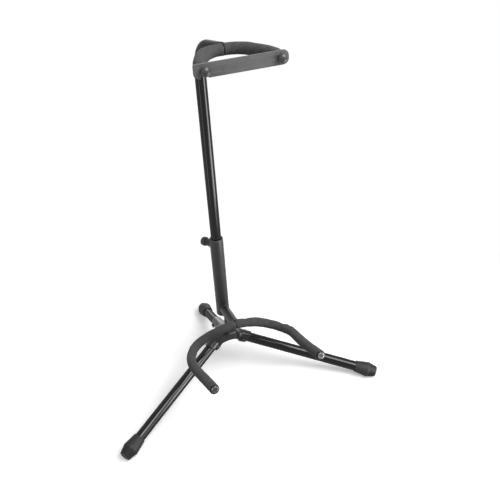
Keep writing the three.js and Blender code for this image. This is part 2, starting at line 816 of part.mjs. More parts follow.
// Safety strap: a flat rubber band, a hole for the right stud and an open slot for the left one
function addStrap(stand, half) {
  const end = half.at(-1);
  const matrix = mastFrame.clone()
    .multiply(new THREE.Matrix4().setPosition(yokePlace))
    .multiply(frameAt(new THREE.Vector3(0, end.y, 0), forward, up));
  const slot = studNeckRadius + runningGap;
  const right = end.x + strapRightOverlap - strapRightRound;
  const left = -end.x - strapHookOverlap;
  const outline = new THREE.Shape();
  outline.moveTo(-end.x + strapMouth, -strapHalfHeight);
  outline.lineTo(right, -strapHalfHeight);
  outline.absarc(right, strapRightRound - strapHalfHeight, strapRightRound, radians(-90), 0);
  outline.absarc(right, strapHalfHeight - strapRightRound, strapRightRound, 0, radians(90));
  outline.lineTo(left + strapHookTopRound, strapHalfHeight);
  outline.absarc(
    left + strapHookTopRound,
    strapHalfHeight - strapHookTopRound,
    strapHookTopRound,
    radians(90),
    radians(180),
  );
  outline.absarc(
    left + strapHookRound,
    strapHookRound - strapHalfHeight,
    strapHookRound,
    radians(180),
    radians(270),
  );
  outline.lineTo(-end.x - strapMouth, -strapHalfHeight);
  outline.lineTo(-end.x - slot, 0);
  outline.absarc(-end.x, 0, slot, radians(180), 0, true);
  outline.closePath();
  outline.holes.push(new THREE.Path().absarc(end.x, 0, slot, 0, radians(360)));
  const band = prism(outline, strapBack, strapFront, boreSides / 2);
  piece('safety_strap', band, strapGrey, framedGroup(matrix, stand));
}

const stand = new THREE.Group();
const fork = forkHalf();
const yoke = bentHalf(yokeBends, yokeEndStraight);
addHub(stand);
for (const leg of legs) {
  addRivet(leg.side, leg.frame, stand);
  addLeg(leg, stand);
}
addLowerTube(stand);
addClamp(stand);
addStem(stand, fork);
addFork(stand, fork);
addMast(stand, yoke);
addStrap(stand, yoke);

// The part's origin lies on the floor, at the middle of its outline from above
const middle = new THREE.Box3().setFromObject(stand, true).getCenter(new THREE.Vector3());
stand.position.set(-middle.x, -middle.y, 0);
const part = new THREE.Group();
part.add(stand);

export default part;
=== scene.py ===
import json
import math

import bmesh
import bpy
import numpy as np
from bpy.props import FloatProperty, FloatVectorProperty, PointerProperty
from bpy.types import Operator, Panel, PropertyGroup
from mathutils import Matrix, Vector, geometry, noise


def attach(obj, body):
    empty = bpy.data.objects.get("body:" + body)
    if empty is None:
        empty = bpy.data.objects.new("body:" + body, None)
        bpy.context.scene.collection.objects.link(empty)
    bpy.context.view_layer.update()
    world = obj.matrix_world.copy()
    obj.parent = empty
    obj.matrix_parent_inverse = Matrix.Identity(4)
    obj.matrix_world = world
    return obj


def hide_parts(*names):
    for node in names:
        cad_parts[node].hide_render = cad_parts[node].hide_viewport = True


bl_info = {
    "name": "Folding Guitar Stand",
    "version": (1, 0, 0),
    "blender": (4, 5, 0),
    "location": "3D View > Sidebar > Stand",
    "description": "Dresses the packed guitar stand in its enamel, powder coat, foam and rubber",
    "category": "Object",
}

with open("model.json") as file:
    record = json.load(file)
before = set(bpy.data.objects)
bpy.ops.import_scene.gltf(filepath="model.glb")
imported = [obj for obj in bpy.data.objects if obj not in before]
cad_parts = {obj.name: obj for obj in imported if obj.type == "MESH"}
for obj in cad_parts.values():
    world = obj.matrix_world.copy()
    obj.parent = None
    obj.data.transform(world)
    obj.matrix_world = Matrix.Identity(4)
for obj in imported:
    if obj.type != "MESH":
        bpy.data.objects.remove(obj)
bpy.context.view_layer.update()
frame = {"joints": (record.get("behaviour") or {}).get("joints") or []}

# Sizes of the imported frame, in millimetres and degrees
MM = 0.001
# The clearance between pieces that fit in each other, and between pieces that touch
GAP = 0.3
TOUCH = 0.05
# How far a cut runs past the piece that it goes through
OVERRUN = 4.0
MAST_LEAN = 5.0
MAST_END_HEIGHT = 117.0
CLAMP_HEIGHT = 156.0
CLAMP_TURN = 35.0
HUB_HEIGHT = 69.6
HUB_BACK = 2.0
SHEET = 2.0
ARM_OUTSIDE = 12.0
ARM_LENGTH = 54.0
ARM_SKIRT = 7.0
ARM_BEVEL = 8.0
CROWN_FORWARD = 24.0
CROWN_RISE = 20.0
CROWN_BRIM = 3.0
CROWN_TOP_RADIUS = 13.0
CROWN_FOOT_RADIUS = 30.0
WEB_DEPTH = 13.0
LEG_RADIUS = 9.5
LEG_BORE = 8.3
# How far the floor flattens a foot cap
LEG_FLATTENED = 0.6
CAP_RIDGE_BACK = 17.0
CAP_RIDGE_RADIUS = 14.5
CAP_NOSE_BACK = 1.4
CAP_NOSE_RADIUS = 10.4
LEG_LENGTHS = {"left": 310.0, "right": 310.0, "rear": 160.0}
LEG_AZIMUTHS = {"left": -56.2, "right": 56.2, "rear": 180.0}
PIVOT_REACH = 40.0
RIVET_HOLE_RADIUS = 3.2
LOWER_TUBE_RADIUS = 12.5
LOWER_TUBE_BORE = 11.0
LOWER_TUBE_LENGTH = 168.0
BOLT_HOLE_RADIUS = 3.3
BOSS_HEIGHT = 8.0
UPPER_TUBE_RADIUS = 9.5
UPPER_TUBE_BORE = 8.3
UPPER_TUBE_FOOT = 60.0
NECK_BEND_START = 470.0
NECK_BEND_RADIUS = 60.0
NECK_BEND_ANGLE = 80.0
NECK_REACH = 119.0
NECK_END_SETBACK = 4.0
STEM_RADIUS = 9.0
STEM_BORE = 7.5
STEM_SLOPE = 10.0
STEM_END_SETBACK = 3.0
RISER_RADIUS = 7.0
RISER_BORE = 5.5
ROD_RADIUS = 6.0
ROD_BORE = 4.8
SLEEVE_SETBACK = 2.0
SLEEVE_MIDDLE_SETBACK = 0.7
FORK_FORWARD = 68.0
FORK_HEIGHT = 143.6
FORK_HALF_WIDTH = 99.5
FORK_REACH = 161.0
FORK_DROP = 36.0
# The fork's right half from its middle to its end, in shares of its half width, reach and drop
FORK_SHARES = (
    (0.0, 0.0, 0.0), (0.27, -0.03, -0.25), (0.52, -0.085, -0.72), (0.74, -0.07, -1.0),
    (0.905, 0.06, -0.92), (0.99, 0.23, -0.64), (1.0, 0.4, -0.36), (0.975, 0.71, 0.28),
    (0.955, 1.0, 0.92),
)
# The radius and the angle of each bend of the yoke's right half, from its middle
YOKE_BENDS = ((38.0, 49.0), (120.0, 17.0), (60.0, 24.0))
YOKE_END_STRAIGHT = 7.0
STRAP_BACK = 2.1
STRAP_HALF_HEIGHT = 9.75

# The camera's place, in millimetres from the point on the floor below the mast's lower end, and its angles
CAMERA_PLACE = (-289.77, -905.92, 991.39)
CAMERA_AZIMUTH = -21.106
CAMERA_ELEVATION = 37.292
CAMERA_ROLL = -1.528
SENSOR_WIDTH = 36.0

# The soft lamps, whose powers are properties: place and aim in metres, and width
LAMPS = {
    "key_lamp": ((0.75, -0.75, 1.8), (0, 0, 0.2), 1.4),
    "fill_lamp": ((-1.2, -0.7, 1.3), (0, 0, 0.3), 1.2),
}

# The panels that only gloss mirrors: place and aim in metres, width, height, and share of the gleam
GLEAMS = {
    "gleam_right": ((0.532, -0.452, 0.225), (0, 0.04, 0.225), 0.33, 0.40, 1.0),
    "gleam_left": ((-0.64, -0.285, 0.225), (0, 0.04, 0.225), 0.15, 0.40, 0.26),
    "gleam_above": ((0.42, -0.5, 1.46), (0, 0, 0.1), 0.7, 0.7, 0.6),
    "gleam_low": ((0.3, -0.53, 0.13), (-0.16, -0.19, 0.05), 0.32, 0.26, 0.35),
    "gleam_behind": ((0.25, 0.95, 0.16), (0, 0.2, 0.05), 0.6, 0.3, 0.28),
}

# Each side's direction along X
SIDES = {"left": -1.0, "right": 1.0}
JOINTS = {joint["name"]: joint for joint in frame["joints"]}
LEAN = math.radians(MAST_LEAN)
MAST_Y = JOINTS["clamp_turn"]["pos_m"][1] / MM - CLAMP_HEIGHT * math.sin(LEAN)
UP = np.array([0.0, 0.0, 1.0])
ACROSS = np.array([1.0, 0.0, 0.0])
FORWARD = np.array([0.0, -1.0, 0.0])
WORLD = np.eye(4)


def linear(code):
    """The linear colour of an sRGB hex value."""
    parts = [int(code[place:place + 2], 16) / 255 for place in (1, 3, 5)]
    return [part / 12.92 if part <= 0.04045 else ((part + 0.055) / 1.055) ** 2.4 for part in parts]


def size_property(name, description, millimetres):
    return FloatProperty(
        name=name, description=description, default=millimetres * MM, min=0.0, unit="LENGTH", precision=5,
    )


def colour_property(name, description, code):
    return FloatVectorProperty(
        name=name, description=description, default=linear(code), size=3, min=0.0, max=1.0,
        subtype="COLOR",
    )


class StandSizes(PropertyGroup):
    """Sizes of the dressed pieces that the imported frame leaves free."""

    sleeve_radius: size_property("Sleeve radius", "Outside radius of the foam sleeves", 8.5)
    sleeve_unevenness: size_property("Sleeve unevenness", "How far the foam's surface wanders", 0.28)
    wrinkle_depth: size_property("Wrinkle depth", "Depth of the folds inside the foam's bends", 0.4)
    wrinkle_spacing: size_property("Wrinkle spacing", "Distance from one fold to the next", 3.4)
    weld_bead: size_property("Weld bead", "Radius of the weld beads", 1.0)
    weld_ripple: size_property("Weld ripple", "Distance between the ripples of a weld bead", 1.8)
    hub_grain: size_property("Hub mesh step", "Mesh step of the pressed hub", 0.8)
    press_round: size_property("Press rounding", "How softly the hub's arms run into each other", 5.0)
    strap_thickness: size_property("Strap thickness", "Thickness of the rubber strap", 2.6)
    strap_edge: size_property("Strap edge", "Rounding of the strap's edges", 0.6)


class StandFinishes(PropertyGroup):
    """Colours of the stand's finishes."""

    enamel: colour_property("Enamel", "Stove enamel of the legs and the upper tube", "#0b0b0c")
    coat: colour_property("Powder coat", "Powder coat of the hub, the lower tube and the rods", "#1c1c1d")
    foam: colour_property("Foam", "Skin of the foam sleeves", "#626263")
    foam_pores: colour_property("Foam pores", "Open cells of the foam sleeves", "#3e3e3f")
    strap: colour_property("Strap", "Rubber of the safety strap", "#626263")
    foot: colour_property("Foot caps", "Moulded rubber of the foot caps", "#171718")
    plastic: colour_property("Plastic", "Moulded caps, bush, plugs and knob", "#38383a")
    zinc: colour_property("Zinc", "Zinc plating of the clamp bolt", "#b9b9b4")
    steel: colour_property("Bare steel", "Cut steel at the rods' rims", "#a8a7a4")
    rivet: colour_property("Rivets", "Blackened steel of the rivets", "#2c2c2e")


class StandStudio(PropertyGroup):
    """The floor, the lamps and the camera."""

    floor: colour_property("Floor", "Matt white floor", "#fbfbfb")
    fill: FloatProperty(
        name="Fill light", description="Strength of the white surroundings on matt surfaces", default=0.18,
        min=0.0,
    )
    key_lamp: FloatProperty(
        name="Key lamp", description="Power of the large soft lamp", default=36.0, min=0.0, unit="POWER",
    )
    fill_lamp: FloatProperty(
        name="Fill lamp", description="Power of the lamp across from it", default=6.0, min=0.0, unit="POWER",
    )
    gleam: FloatProperty(
        name="Gleam", description="Radiance of the panels that only gloss mirrors", default=13.0, min=0.0,
    )
    focal_length: FloatProperty(
        name="Focal length", description="Focal length of the camera", default=47.161, min=1.0,
        unit="CAMERA",
    )


def sizes():
    return bpy.context.scene.stand_sizes


def in_mm(length):
    return length / MM


# Places and directions

def unit(vector):
    vector = np.asarray(vector, float)
    return vector / np.linalg.norm(vector)


def frame_at(origin, z_way, near_y):
    """The matrix of a place whose Z runs along a direction, with its Y as near as it can be to another."""
    z = unit(z_way)
    x = unit(np.cross(near_y, z))
    matrix = np.eye(4)
    matrix[:3, 0], matrix[:3, 1], matrix[:3, 2], matrix[:3, 3] = x, np.cross(z, x), z, origin
    return matrix


def placed(place, points):
    return np.asarray(points, float) @ place[:3, :3].T + place[:3, 3]


HUB_PLACE = np.array([0.0, MAST_Y - HUB_BACK, HUB_HEIGHT])
MAST_PLACE = np.array([0.0, MAST_Y, MAST_END_HEIGHT])
MAST_WAY = np.array([0.0, math.sin(LEAN), math.cos(LEAN)])
MAST = frame_at(MAST_PLACE, MAST_WAY, -FORWARD)
OUT_OF_MAST = np.array([-math.sin(math.radians(CLAMP_TURN)), math.cos(math.radians(CLAMP_TURN)), 0.0])
CLAMP = MAST @ frame_at((0, 0, CLAMP_HEIGHT), OUT_OF_MAST, UP)
FORK_PLACE = np.array([0.0, MAST_Y - FORK_FORWARD, FORK_HEIGHT])
FORK = frame_at(FORK_PLACE, UP, -FORWARD)
STEM_WAY = np.array([0.0, -math.cos(math.radians(STEM_SLOPE)), math.sin(math.radians(STEM_SLOPE))])
STEM = frame_at(FORK_PLACE, STEM_WAY, UP)
NECK_TURN = math.radians(NECK_BEND_ANGLE)
NECK_RUN = (NECK_REACH - NECK_BEND_RADIUS * (1 - math.cos(NECK_TURN))) / math.sin(NECK_TURN)
YOKE_HEIGHT = NECK_BEND_START + NECK_BEND_RADIUS * math.sin(NECK_TURN) + NECK_RUN * math.cos(NECK_TURN)
YOKE = MAST @ frame_at((0, -NECK_REACH, YOKE_HEIGHT), UP, -FORWARD)


def leg_place(side):
    """The place of a leg at the hub: its Z runs down the leg, which rests on its cap's ridge or end."""
    length = LEG_LENGTHS[side]
    drop = HUB_HEIGHT + LEG_FLATTENED

    def touching(back, radius):
        run = length - back
        return math.asin(drop / math.hypot(run, radius)) - math.atan2(radius, run)

    slope = min(touching(CAP_RIDGE_BACK, CAP_RIDGE_RADIUS), touching(CAP_NOSE_BACK, CAP_NOSE_RADIUS))
    azimuth = math.radians(LEG_AZIMUTHS[side])
    level = np.array([math.sin(azimuth), -math.cos(azimuth), 0.0])
    return frame_at(HUB_PLACE, level * math.cos(slope) - UP * math.sin(slope), UP)


# Shapes from rings and profiles

def softened(profile, rounds, steps=4):
    """A profile whose listed corners are rounded: rounds gives a length for a corner's number."""
    longest_share = 0.48
    result = []
    for index, point in enumerate(profile):
        reach = rounds.get(index, 0.0)
        if reach <= 0:
            result.append(tuple(point))
            continue
        corner = np.array(point, float)
        neighbours = (profile[index - 1], profile[(index + 1) % len(profile)])
        start, end = (
            corner + unit(side) * min(reach, longest_share * np.linalg.norm(side))
            for side in (np.array(neighbour, float) - corner for neighbour in neighbours)
        )
        for step in range(steps + 1):
            share = step / steps
            spot = start * (1 - share) ** 2 + corner * 2 * share * (1 - share) + end * share ** 2
            result.append(tuple(spot))
    return result


def turns_round(sides):
    return np.arange(sides) * 2 * math.pi / sides


def ring_of(radius, turns, heights):
    """Points at a radius about Z, by turn."""
    return np.stack([radius * np.cos(turns), radius * np.sin(turns), heights + np.zeros_like(turns)], axis=1)


def revolved(profile, sides, closed=False, radius_of=None):
    """Points and faces of a profile of (radius, height) turned about Z. radius_of may reshape a ring."""
    on_axis = 1e-6
    turns = turns_round(sides)
    points, rings = [], []
    for radius, height in profile:
        if radius < on_axis:
            rings.append([len(points)])
            points.append((0.0, 0.0, height))
            continue
        radii = np.full(sides, radius) if radius_of is None else radius_of(radius, height, turns)
        rings.append(list(range(len(points), len(points) + sides)))
        points += list(ring_of(radii, turns, height))
    pairs = list(zip(rings, rings[1:]))
    if closed:
        pairs.append((rings[-1], rings[0]))
    faces = []
    for low, high in pairs:
        for index in range(sides):
            around = ((low, index), (low, index + 1), (high, index + 1), (high, index))
            corners = list(dict.fromkeys(ring[place % len(ring)] for ring, place in around))
            if len(corners) > 2:
                faces.append(tuple(corners))
    return np.array(points), faces


def rod(radius, low, high, sides=32):
    return revolved([(0, low), (radius, low), (radius, high), (0, high)], sides)


def lofted(rings):
    """Points and faces of a skin over rings of equal count, whose last ring joins the first."""
    sides, count = len(rings[0]), len(rings)
    faces = []
    for index in range(count):
        low, high = index * sides, ((index + 1) % count) * sides
        for corner in range(sides):
            after = (corner + 1) % sides
            faces.append((low + corner, low + after, high + after, high + corner))
    return np.concatenate(rings), faces


def tangents_of(stations):
    return np.array([unit(step) for step in np.gradient(stations, axis=0)])


def carried_sides(tangents, first):
    """Two cross directions at each station, carried along the path without a twist."""
    side = np.asarray(first, float)
    pairs = []
    for tangent in tangents:
        side = unit(side - tangent * (side @ tangent))
        pairs.append((side, np.cross(tangent, side)))
    return pairs


def pipe(stations, outer, bore, sides, first, rim=0.3, last_shift=None, lip=None):
    """A bent pipe with rounded rims. last_shift moves the last rings along the pipe, by radius and turn.
    A lip is the radius that the cut ends are rolled in to."""
    tangents = tangents_of(stations)
    pairs = carried_sides(tangents, first)
    turns = turns_round(sides)
    spread = [np.outer(np.cos(turns), side) + np.outer(np.sin(turns), other) for side, other in pairs]
    last = len(stations) - 1

    def ring(index, radius, along=0.0):
        centres = stations[index] + tangents[index] * along
        points = centres + spread[index] * radius
        if last_shift is not None and index == last:
            points = points + np.outer(last_shift(radius, turns), tangents[index])
        return points

    rim_share, lip_bevel, lip_depth = 0.3, 0.3, 0.7
    edge = [(outer - rim, 0.0), (outer - rim * rim_share, rim * rim_share), (outer, rim)]
    mouth = [(bore, 0.0)] if lip is None else [
        (lip + lip_bevel, 0.0), (lip, lip_bevel), (lip, lip_depth), (bore, lip_depth + TOUCH),
    ]
    rings = [ring(0, radius, back) for radius, back in edge]
    rings += [ring(index, outer) for index in range(1, last)]
    rings += [ring(last, radius, -back) for radius, back in edge[::-1] + mouth]
    rings += [ring(index, bore) for index in range(last - 1, 0, -1)]
    rings += [ring(0, radius, back) for radius, back in mouth[::-1]]
    return lofted(rings)


def saddle_pipe(place, outer, bore, sides, start, end, rim=0.3):
    """A straight pipe whose ends follow other surfaces: start and end give a height by radius and turn."""
    turns = turns_round(sides)

    def ring(radius, heights):
        return placed(place, ring_of(radius, turns, heights))

    low, high = start(outer, turns), end(outer, turns)
    middle = [ring(outer, low + (high - low) * share) for share in (0.25, 0.5, 0.75)]
    rings = [
        ring(outer - rim, start(outer - rim, turns)), ring(outer, low + rim), *middle,
        ring(outer, high - rim), ring(outer - rim, end(outer - rim, turns)), ring(bore, end(bore, turns)),
        ring(bore, start(bore, turns)),
    ]
    return lofted(rings)


def level_at(height):
    """A flat end of a pipe: one height for every radius and turn."""

    def heights(radius, turns):
        return np.full(len(turns), height)

    return heights


def on_tube(place, line_point, line_way, tube_radius):
    """A saddle: heights in a place at which a pipe's wall meets a tube, on the tube's near side."""

    def heights(radius, turns):
        start = placed(place, ring_of(radius, turns, 0.0)) - line_point
        start = start - np.outer(start @ line_way, line_way)
        run = place[:3, 2] - line_way * (place[:3, 2] @ line_way)
        a, b = run @ run, start @ run
        c = (start ** 2).sum(1) - tube_radius ** 2
        return (-b + np.sqrt(np.maximum(b * b - a * c, 0))) / a

    return heights


def behind_rod(setback, reach):
    """A fish-mouth: heights that keep a pipe's end behind a cross rod."""

    def heights(radius, turns):
        off = radius * np.sin(turns)
        return np.minimum(-setback, -np.sqrt(np.maximum(reach ** 2 - off ** 2, 0)))

    return heights


def bead(path, outward, radius):
    """A weld bead round a closed path, with the ripples of its run."""
    sides, least_ripples = 12, 6
    ripple_share, wander_share, wander_scale = 0.13, 0.12, 0.35
    path = np.asarray(path, float)
    tangents = np.array([unit(b - a) for a, b in zip(np.roll(path, 1, 0), np.roll(path, -1, 0))])
    run = np.cumsum(np.linalg.norm(path - np.roll(path, 1, 0), axis=1))
    turns = turns_round(sides)
    ripples = max(least_ripples, round(run[-1] / in_mm(sizes().weld_ripple)))
    rings = []
    for index, (point, tangent, way) in enumerate(zip(path, tangents, outward)):
        side = unit(way - tangent * (way @ tangent))
        other = np.cross(tangent, side)
        swell = 1 + ripple_share * math.sin(2 * math.pi * ripples * run[index] / run[-1])
        swell += wander_share * noise.noise(Vector(point) * wander_scale)
        across = np.outer(np.cos(turns), side) + np.outer(np.sin(turns), other)
        rings.append(point + radius * swell * across)
    return lofted(rings)


# Pieces

def plain_object(name, points, faces):
    """A mesh object from points in millimetres, with its faces turned out."""
    merging = 0.002
    mesh = bpy.data.meshes.new(name)
    mesh.from_pydata([tuple(point) for point in np.asarray(points, float) * MM], [], faces)
    work = bmesh.new()
    work.from_mesh(mesh)
    bmesh.ops.remove_doubles(work, verts=work.verts, dist=merging * MM)
    bmesh.ops.recalc_face_normals(work, faces=work.faces)
    work.to_mesh(mesh)
    work.free()
    piece = bpy.data.objects.new(name, mesh)
    bpy.context.scene.collection.objects.link(piece)
    return piece


def cut_away(piece, points, faces):
    """Takes a solid away from a piece."""
    cutter = plain_object("cutter", points, faces)
    step = piece.modifiers.new("cut", "BOOLEAN")
    step.operation, step.solver, step.object = "DIFFERENCE", "EXACT", cutter
    bpy.context.view_layer.update()
    result = bpy.data.meshes.new_from_object(piece.evaluated_get(bpy.context.evaluated_depsgraph_get()))
    piece.modifiers.remove(step)
    before, piece.data = piece.data, result
    bpy.data.meshes.remove(before)
    spent = cutter.data
    bpy.data.objects.remove(cutter)
    bpy.data.meshes.remove(spent)


def add_piece(name, place, shape, surface, body, stands_for=(), sharp=38.0, cuts=()):
    """Adds a piece: places its shape, takes the cuts away, gives it its finish and shading, ties it to its
    body, and hides the imported parts that it stands for."""
    points, faces = shape
    piece = plain_object(name, placed(place, points), faces)
    for cut_place, (cut_points, cut_faces) in cuts:
        cut_away(piece, placed(cut_place, cut_points), cut_faces)
    piece.data.materials.clear()
    piece.data.materials.append(finish_of(surface))
    piece.data.shade_smooth()
    piece.data.set_sharp_from_angle(angle=math.radians(sharp))
    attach(piece, body)
    if stands_for:
        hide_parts(*stands_for)
    return piece


def add_weld(name, place, radius, sides, edge, lift=0.1, share=1.0):
    """Adds the weld bead round a pipe's end, whose heights edge gives by radius and turn."""
    stand_off = 0.1
    turns = turns_round(sides)
    reach = radius + stand_off
    ring = ring_of(reach, turns, edge(reach, turns) + lift)
    outward = np.outer(np.cos(turns), place[:3, 0]) + np.outer(np.sin(turns), place[:3, 1])
    shape = bead(placed(place, ring), outward, in_mm(sizes().weld_bead) * share)
    add_piece(name, WORLD, shape, satin_powder_coat, "base")


def cut_ends(piece, surface, ends, radius, reach):
    """Gives another finish to the faces within a reach of the cut ends of a rod or sleeve."""
    piece.data.materials.append(finish_of(surface))
    for polygon in piece.data.polygons:
        centre = np.array(polygon.center) / MM
        for point, way in ends:
            if abs((centre - point) @ way) < reach and np.linalg.norm(centre - point) < radius:
                polygon.material_index = 1


# Finishes

# Sockets of a Mix node of colours, which share their names with those for other types
MIX_FACTOR, MIX_FIRST, MIX_SECOND, MIX_RESULT = 0, 6, 7, 2
WHITE = (1.0, 1.0, 1.0, 1.0)

# The band that holds nearly all the values of a noise texture
NOISE_BAND = {"From Min": 0.3, "From Max": 0.7}

made_finishes = {}


def add_node(tree, kind, output=None, inputs=None, **settings):
    """Adds a node, sets its properties, sets or links its inputs, and returns the output asked for."""
    node = tree.nodes.new(kind)
    for name, value in settings.items():
        setattr(node, name, value)
    for name, value in (inputs or {}).items():
        if isinstance(value, bpy.types.NodeSocket):
            tree.links.new(value, node.inputs[name])
        else:
            node.inputs[name].default_value = value
    return None if output is None else node.outputs[output]


def finish_of(surface):
    """The material of a finish, made at its first use and named for the function that gives its surface."""
    if surface not in made_finishes:
        material = bpy.data.materials.new(surface.__name__)
        material.use_nodes = True
        tree = material.node_tree
        tree.nodes.clear()
        add_node(tree, "ShaderNodeOutputMaterial", inputs={"Surface": surface(tree)})
        made_finishes[surface] = material
    return made_finishes[surface]


def blotches(size):
    """The scale of a pattern whose blotches are about a size in millimetres across."""
    return 1 / (size * MM)


def toned(parts, factor=1.0):
    """A colour as a socket takes it, made lighter or darker by a factor."""
    return [*(min(1.0, part * factor) for part in parts), 1.0]


def colour(name, factor=1.0):
    return toned(getattr(bpy.context.scene.stand_finishes, name), factor)


def gloss_black_enamel(tree):
    """Stove enamel sprayed on drawn steel tube: deep black, glossy, with a faint orange peel. Its edges stay
    dark by painted shade: its reflection is turned down at a glancing angle, as if the surroundings were dark
    there."""
    place = add_node(tree, "ShaderNodeTexCoord", "Object")
    peel = add_node(tree, "ShaderNodeTexNoise", "Fac", {
        "Vector": place, "Scale": blotches(1.6), "Detail": 1.0,
    })
    handling = add_node(tree, "ShaderNodeTexNoise", "Fac", {
        "Vector": place, "Scale": blotches(22.0), "Detail": 3.0,
    })
    # Painted shade: the facing weight turns the reflection down towards the edges, so that they stay dark
    facing = add_node(tree, "ShaderNodeLayerWeight", "Facing", {"Blend": 0.5})
    return add_node(tree, "ShaderNodeBsdfPrincipled", "BSDF", {
        "Base Color": colour("enamel"), "IOR": 1.5,
        "Specular IOR Level": add_node(tree, "ShaderNodeMapRange", "Result", {
            "Value": facing, "From Min": 0.35, "From Max": 0.7, "To Min": 0.25, "To Max": 0.012,
        }),
        "Roughness": add_node(tree, "ShaderNodeMapRange", "Result", {
            **NOISE_BAND, "Value": handling, "To Min": 0.11, "To Max": 0.17,
        }),
        "Normal": add_node(tree, "ShaderNodeBump", "Normal", {
            "Height": peel, "Strength": 0.3, "Distance": 0.015 * MM,
        }),
    })


def semi_gloss_black_enamel(tree):
    """Dipped and baked enamel on deep-drawn sheet steel: black, between satin and gloss, and thick in the
    folds."""
    place = add_node(tree, "ShaderNodeTexCoord", "Object")
    sag = add_node(tree, "ShaderNodeTexNoise", "Fac", {
        "Vector": place, "Scale": blotches(3.5), "Detail": 2.0,
    })
    handling = add_node(tree, "ShaderNodeTexNoise", "Fac", {
        "Vector": place, "Scale": blotches(12.0), "Detail": 3.0,
    })
    return add_node(tree, "ShaderNodeBsdfPrincipled", "BSDF", {
        "Base Color": colour("coat", 0.8), "IOR": 1.5, "Specular IOR Level": 0.36,
        "Roughness": add_node(tree, "ShaderNodeMapRange", "Result", {
            **NOISE_BAND, "Value": handling, "To Min": 0.22, "To Max": 0.32,
        }),
        "Normal": add_node(tree, "ShaderNodeBump", "Normal", {
            "Height": sag, "Strength": 0.4, "Distance": 0.05 * MM,
        }),
    })


def satin_powder_coat(tree):
    """Polyester powder baked on steel: satin black, with the fine orange peel of melted powder."""
    place = add_node(tree, "ShaderNodeTexCoord", "Object")
    peel = add_node(tree, "ShaderNodeTexNoise", "Fac", {
        "Vector": place, "Scale": blotches(0.9), "Detail": 2.0,
    })
    handling = add_node(tree, "ShaderNodeTexNoise", "Fac", {
        "Vector": place, "Scale": blotches(14.0), "Detail": 3.0,
    })
    return add_node(tree, "ShaderNodeBsdfPrincipled", "BSDF", {
        "Base Color": add_node(tree, "ShaderNodeMix", MIX_RESULT, {
            MIX_FACTOR: handling, MIX_FIRST: colour("coat", 0.85), MIX_SECOND: colour("coat", 1.15),
        }, data_type="RGBA"),
        "IOR": 1.5, "Specular IOR Level": 0.4,
        "Roughness": add_node(tree, "ShaderNodeMapRange", "Result", {
            **NOISE_BAND, "Value": handling, "To Min": 0.38, "To Max": 0.48,
        }),
        "Normal": add_node(tree, "ShaderNodeBump", "Normal", {
            "Height": peel, "Strength": 0.5, "Distance": 0.03 * MM,
        }),
    })


def closed_cell_foam(tree):
    """Extruded closed-cell rubber foam: a dull grey-black skin full of cut cells. Real cells are 0.3 to
    0.6 mm; they are drawn at 0.8 mm so that they show."""
    place = add_node(tree, "ShaderNodeTexCoord", "Object")
    cells = add_node(tree, "ShaderNodeTexVoronoi", "Distance", {
        "Vector": place, "Scale": blotches(0.8), "Randomness": 1.0,
    })
    mottle = add_node(tree, "ShaderNodeTexNoise", "Fac", {
        "Vector": place, "Scale": blotches(6.0), "Detail": 3.0,
    })
    fine = add_node(tree, "ShaderNodeTexNoise", "Fac", {
        "Vector": place, "Scale": blotches(0.6), "Detail": 2.0,
    })
    pores = add_node(tree, "ShaderNodeMapRange", "Result", {
        "Value": cells, "From Min": 0.1, "From Max": 0.75,
    })
    skin = add_node(tree, "ShaderNodeMath", "Value", {0: pores, 1: fine}, operation="MULTIPLY")
    share = add_node(tree, "ShaderNodeMapRange", "Result", {
        "Value": skin, "From Min": 0.05, "From Max": 0.5,
    })
    shade = add_node(tree, "ShaderNodeMix", MIX_RESULT, {
        MIX_FACTOR: share, MIX_FIRST: colour("foam"), MIX_SECOND: colour("foam_pores"),
    }, data_type="RGBA")
    cloudy = add_node(tree, "ShaderNodeMix", MIX_RESULT, {
        MIX_FACTOR: mottle, MIX_FIRST: (0.84, 0.84, 0.84, 1.0), MIX_SECOND: (1.16, 1.16, 1.16, 1.0),
    }, data_type="RGBA")
    return add_node(tree, "ShaderNodeBsdfPrincipled", "BSDF", {
        "Base Color": add_node(tree, "ShaderNodeMix", MIX_RESULT, {
            MIX_FACTOR: 1.0, MIX_FIRST: shade, MIX_SECOND: cloudy,
        }, data_type="RGBA", blend_type="MULTIPLY"),
        "IOR": 1.45, "Specular IOR Level": 0.12, "Roughness": 0.92, "Sheen Weight": 0.08,
        "Sheen Roughness": 0.5,
        "Normal": add_node(tree, "ShaderNodeBump", "Normal", {
            "Height": share, "Strength": 0.7, "Distance": 0.12 * MM,
        }, invert=True),
    })


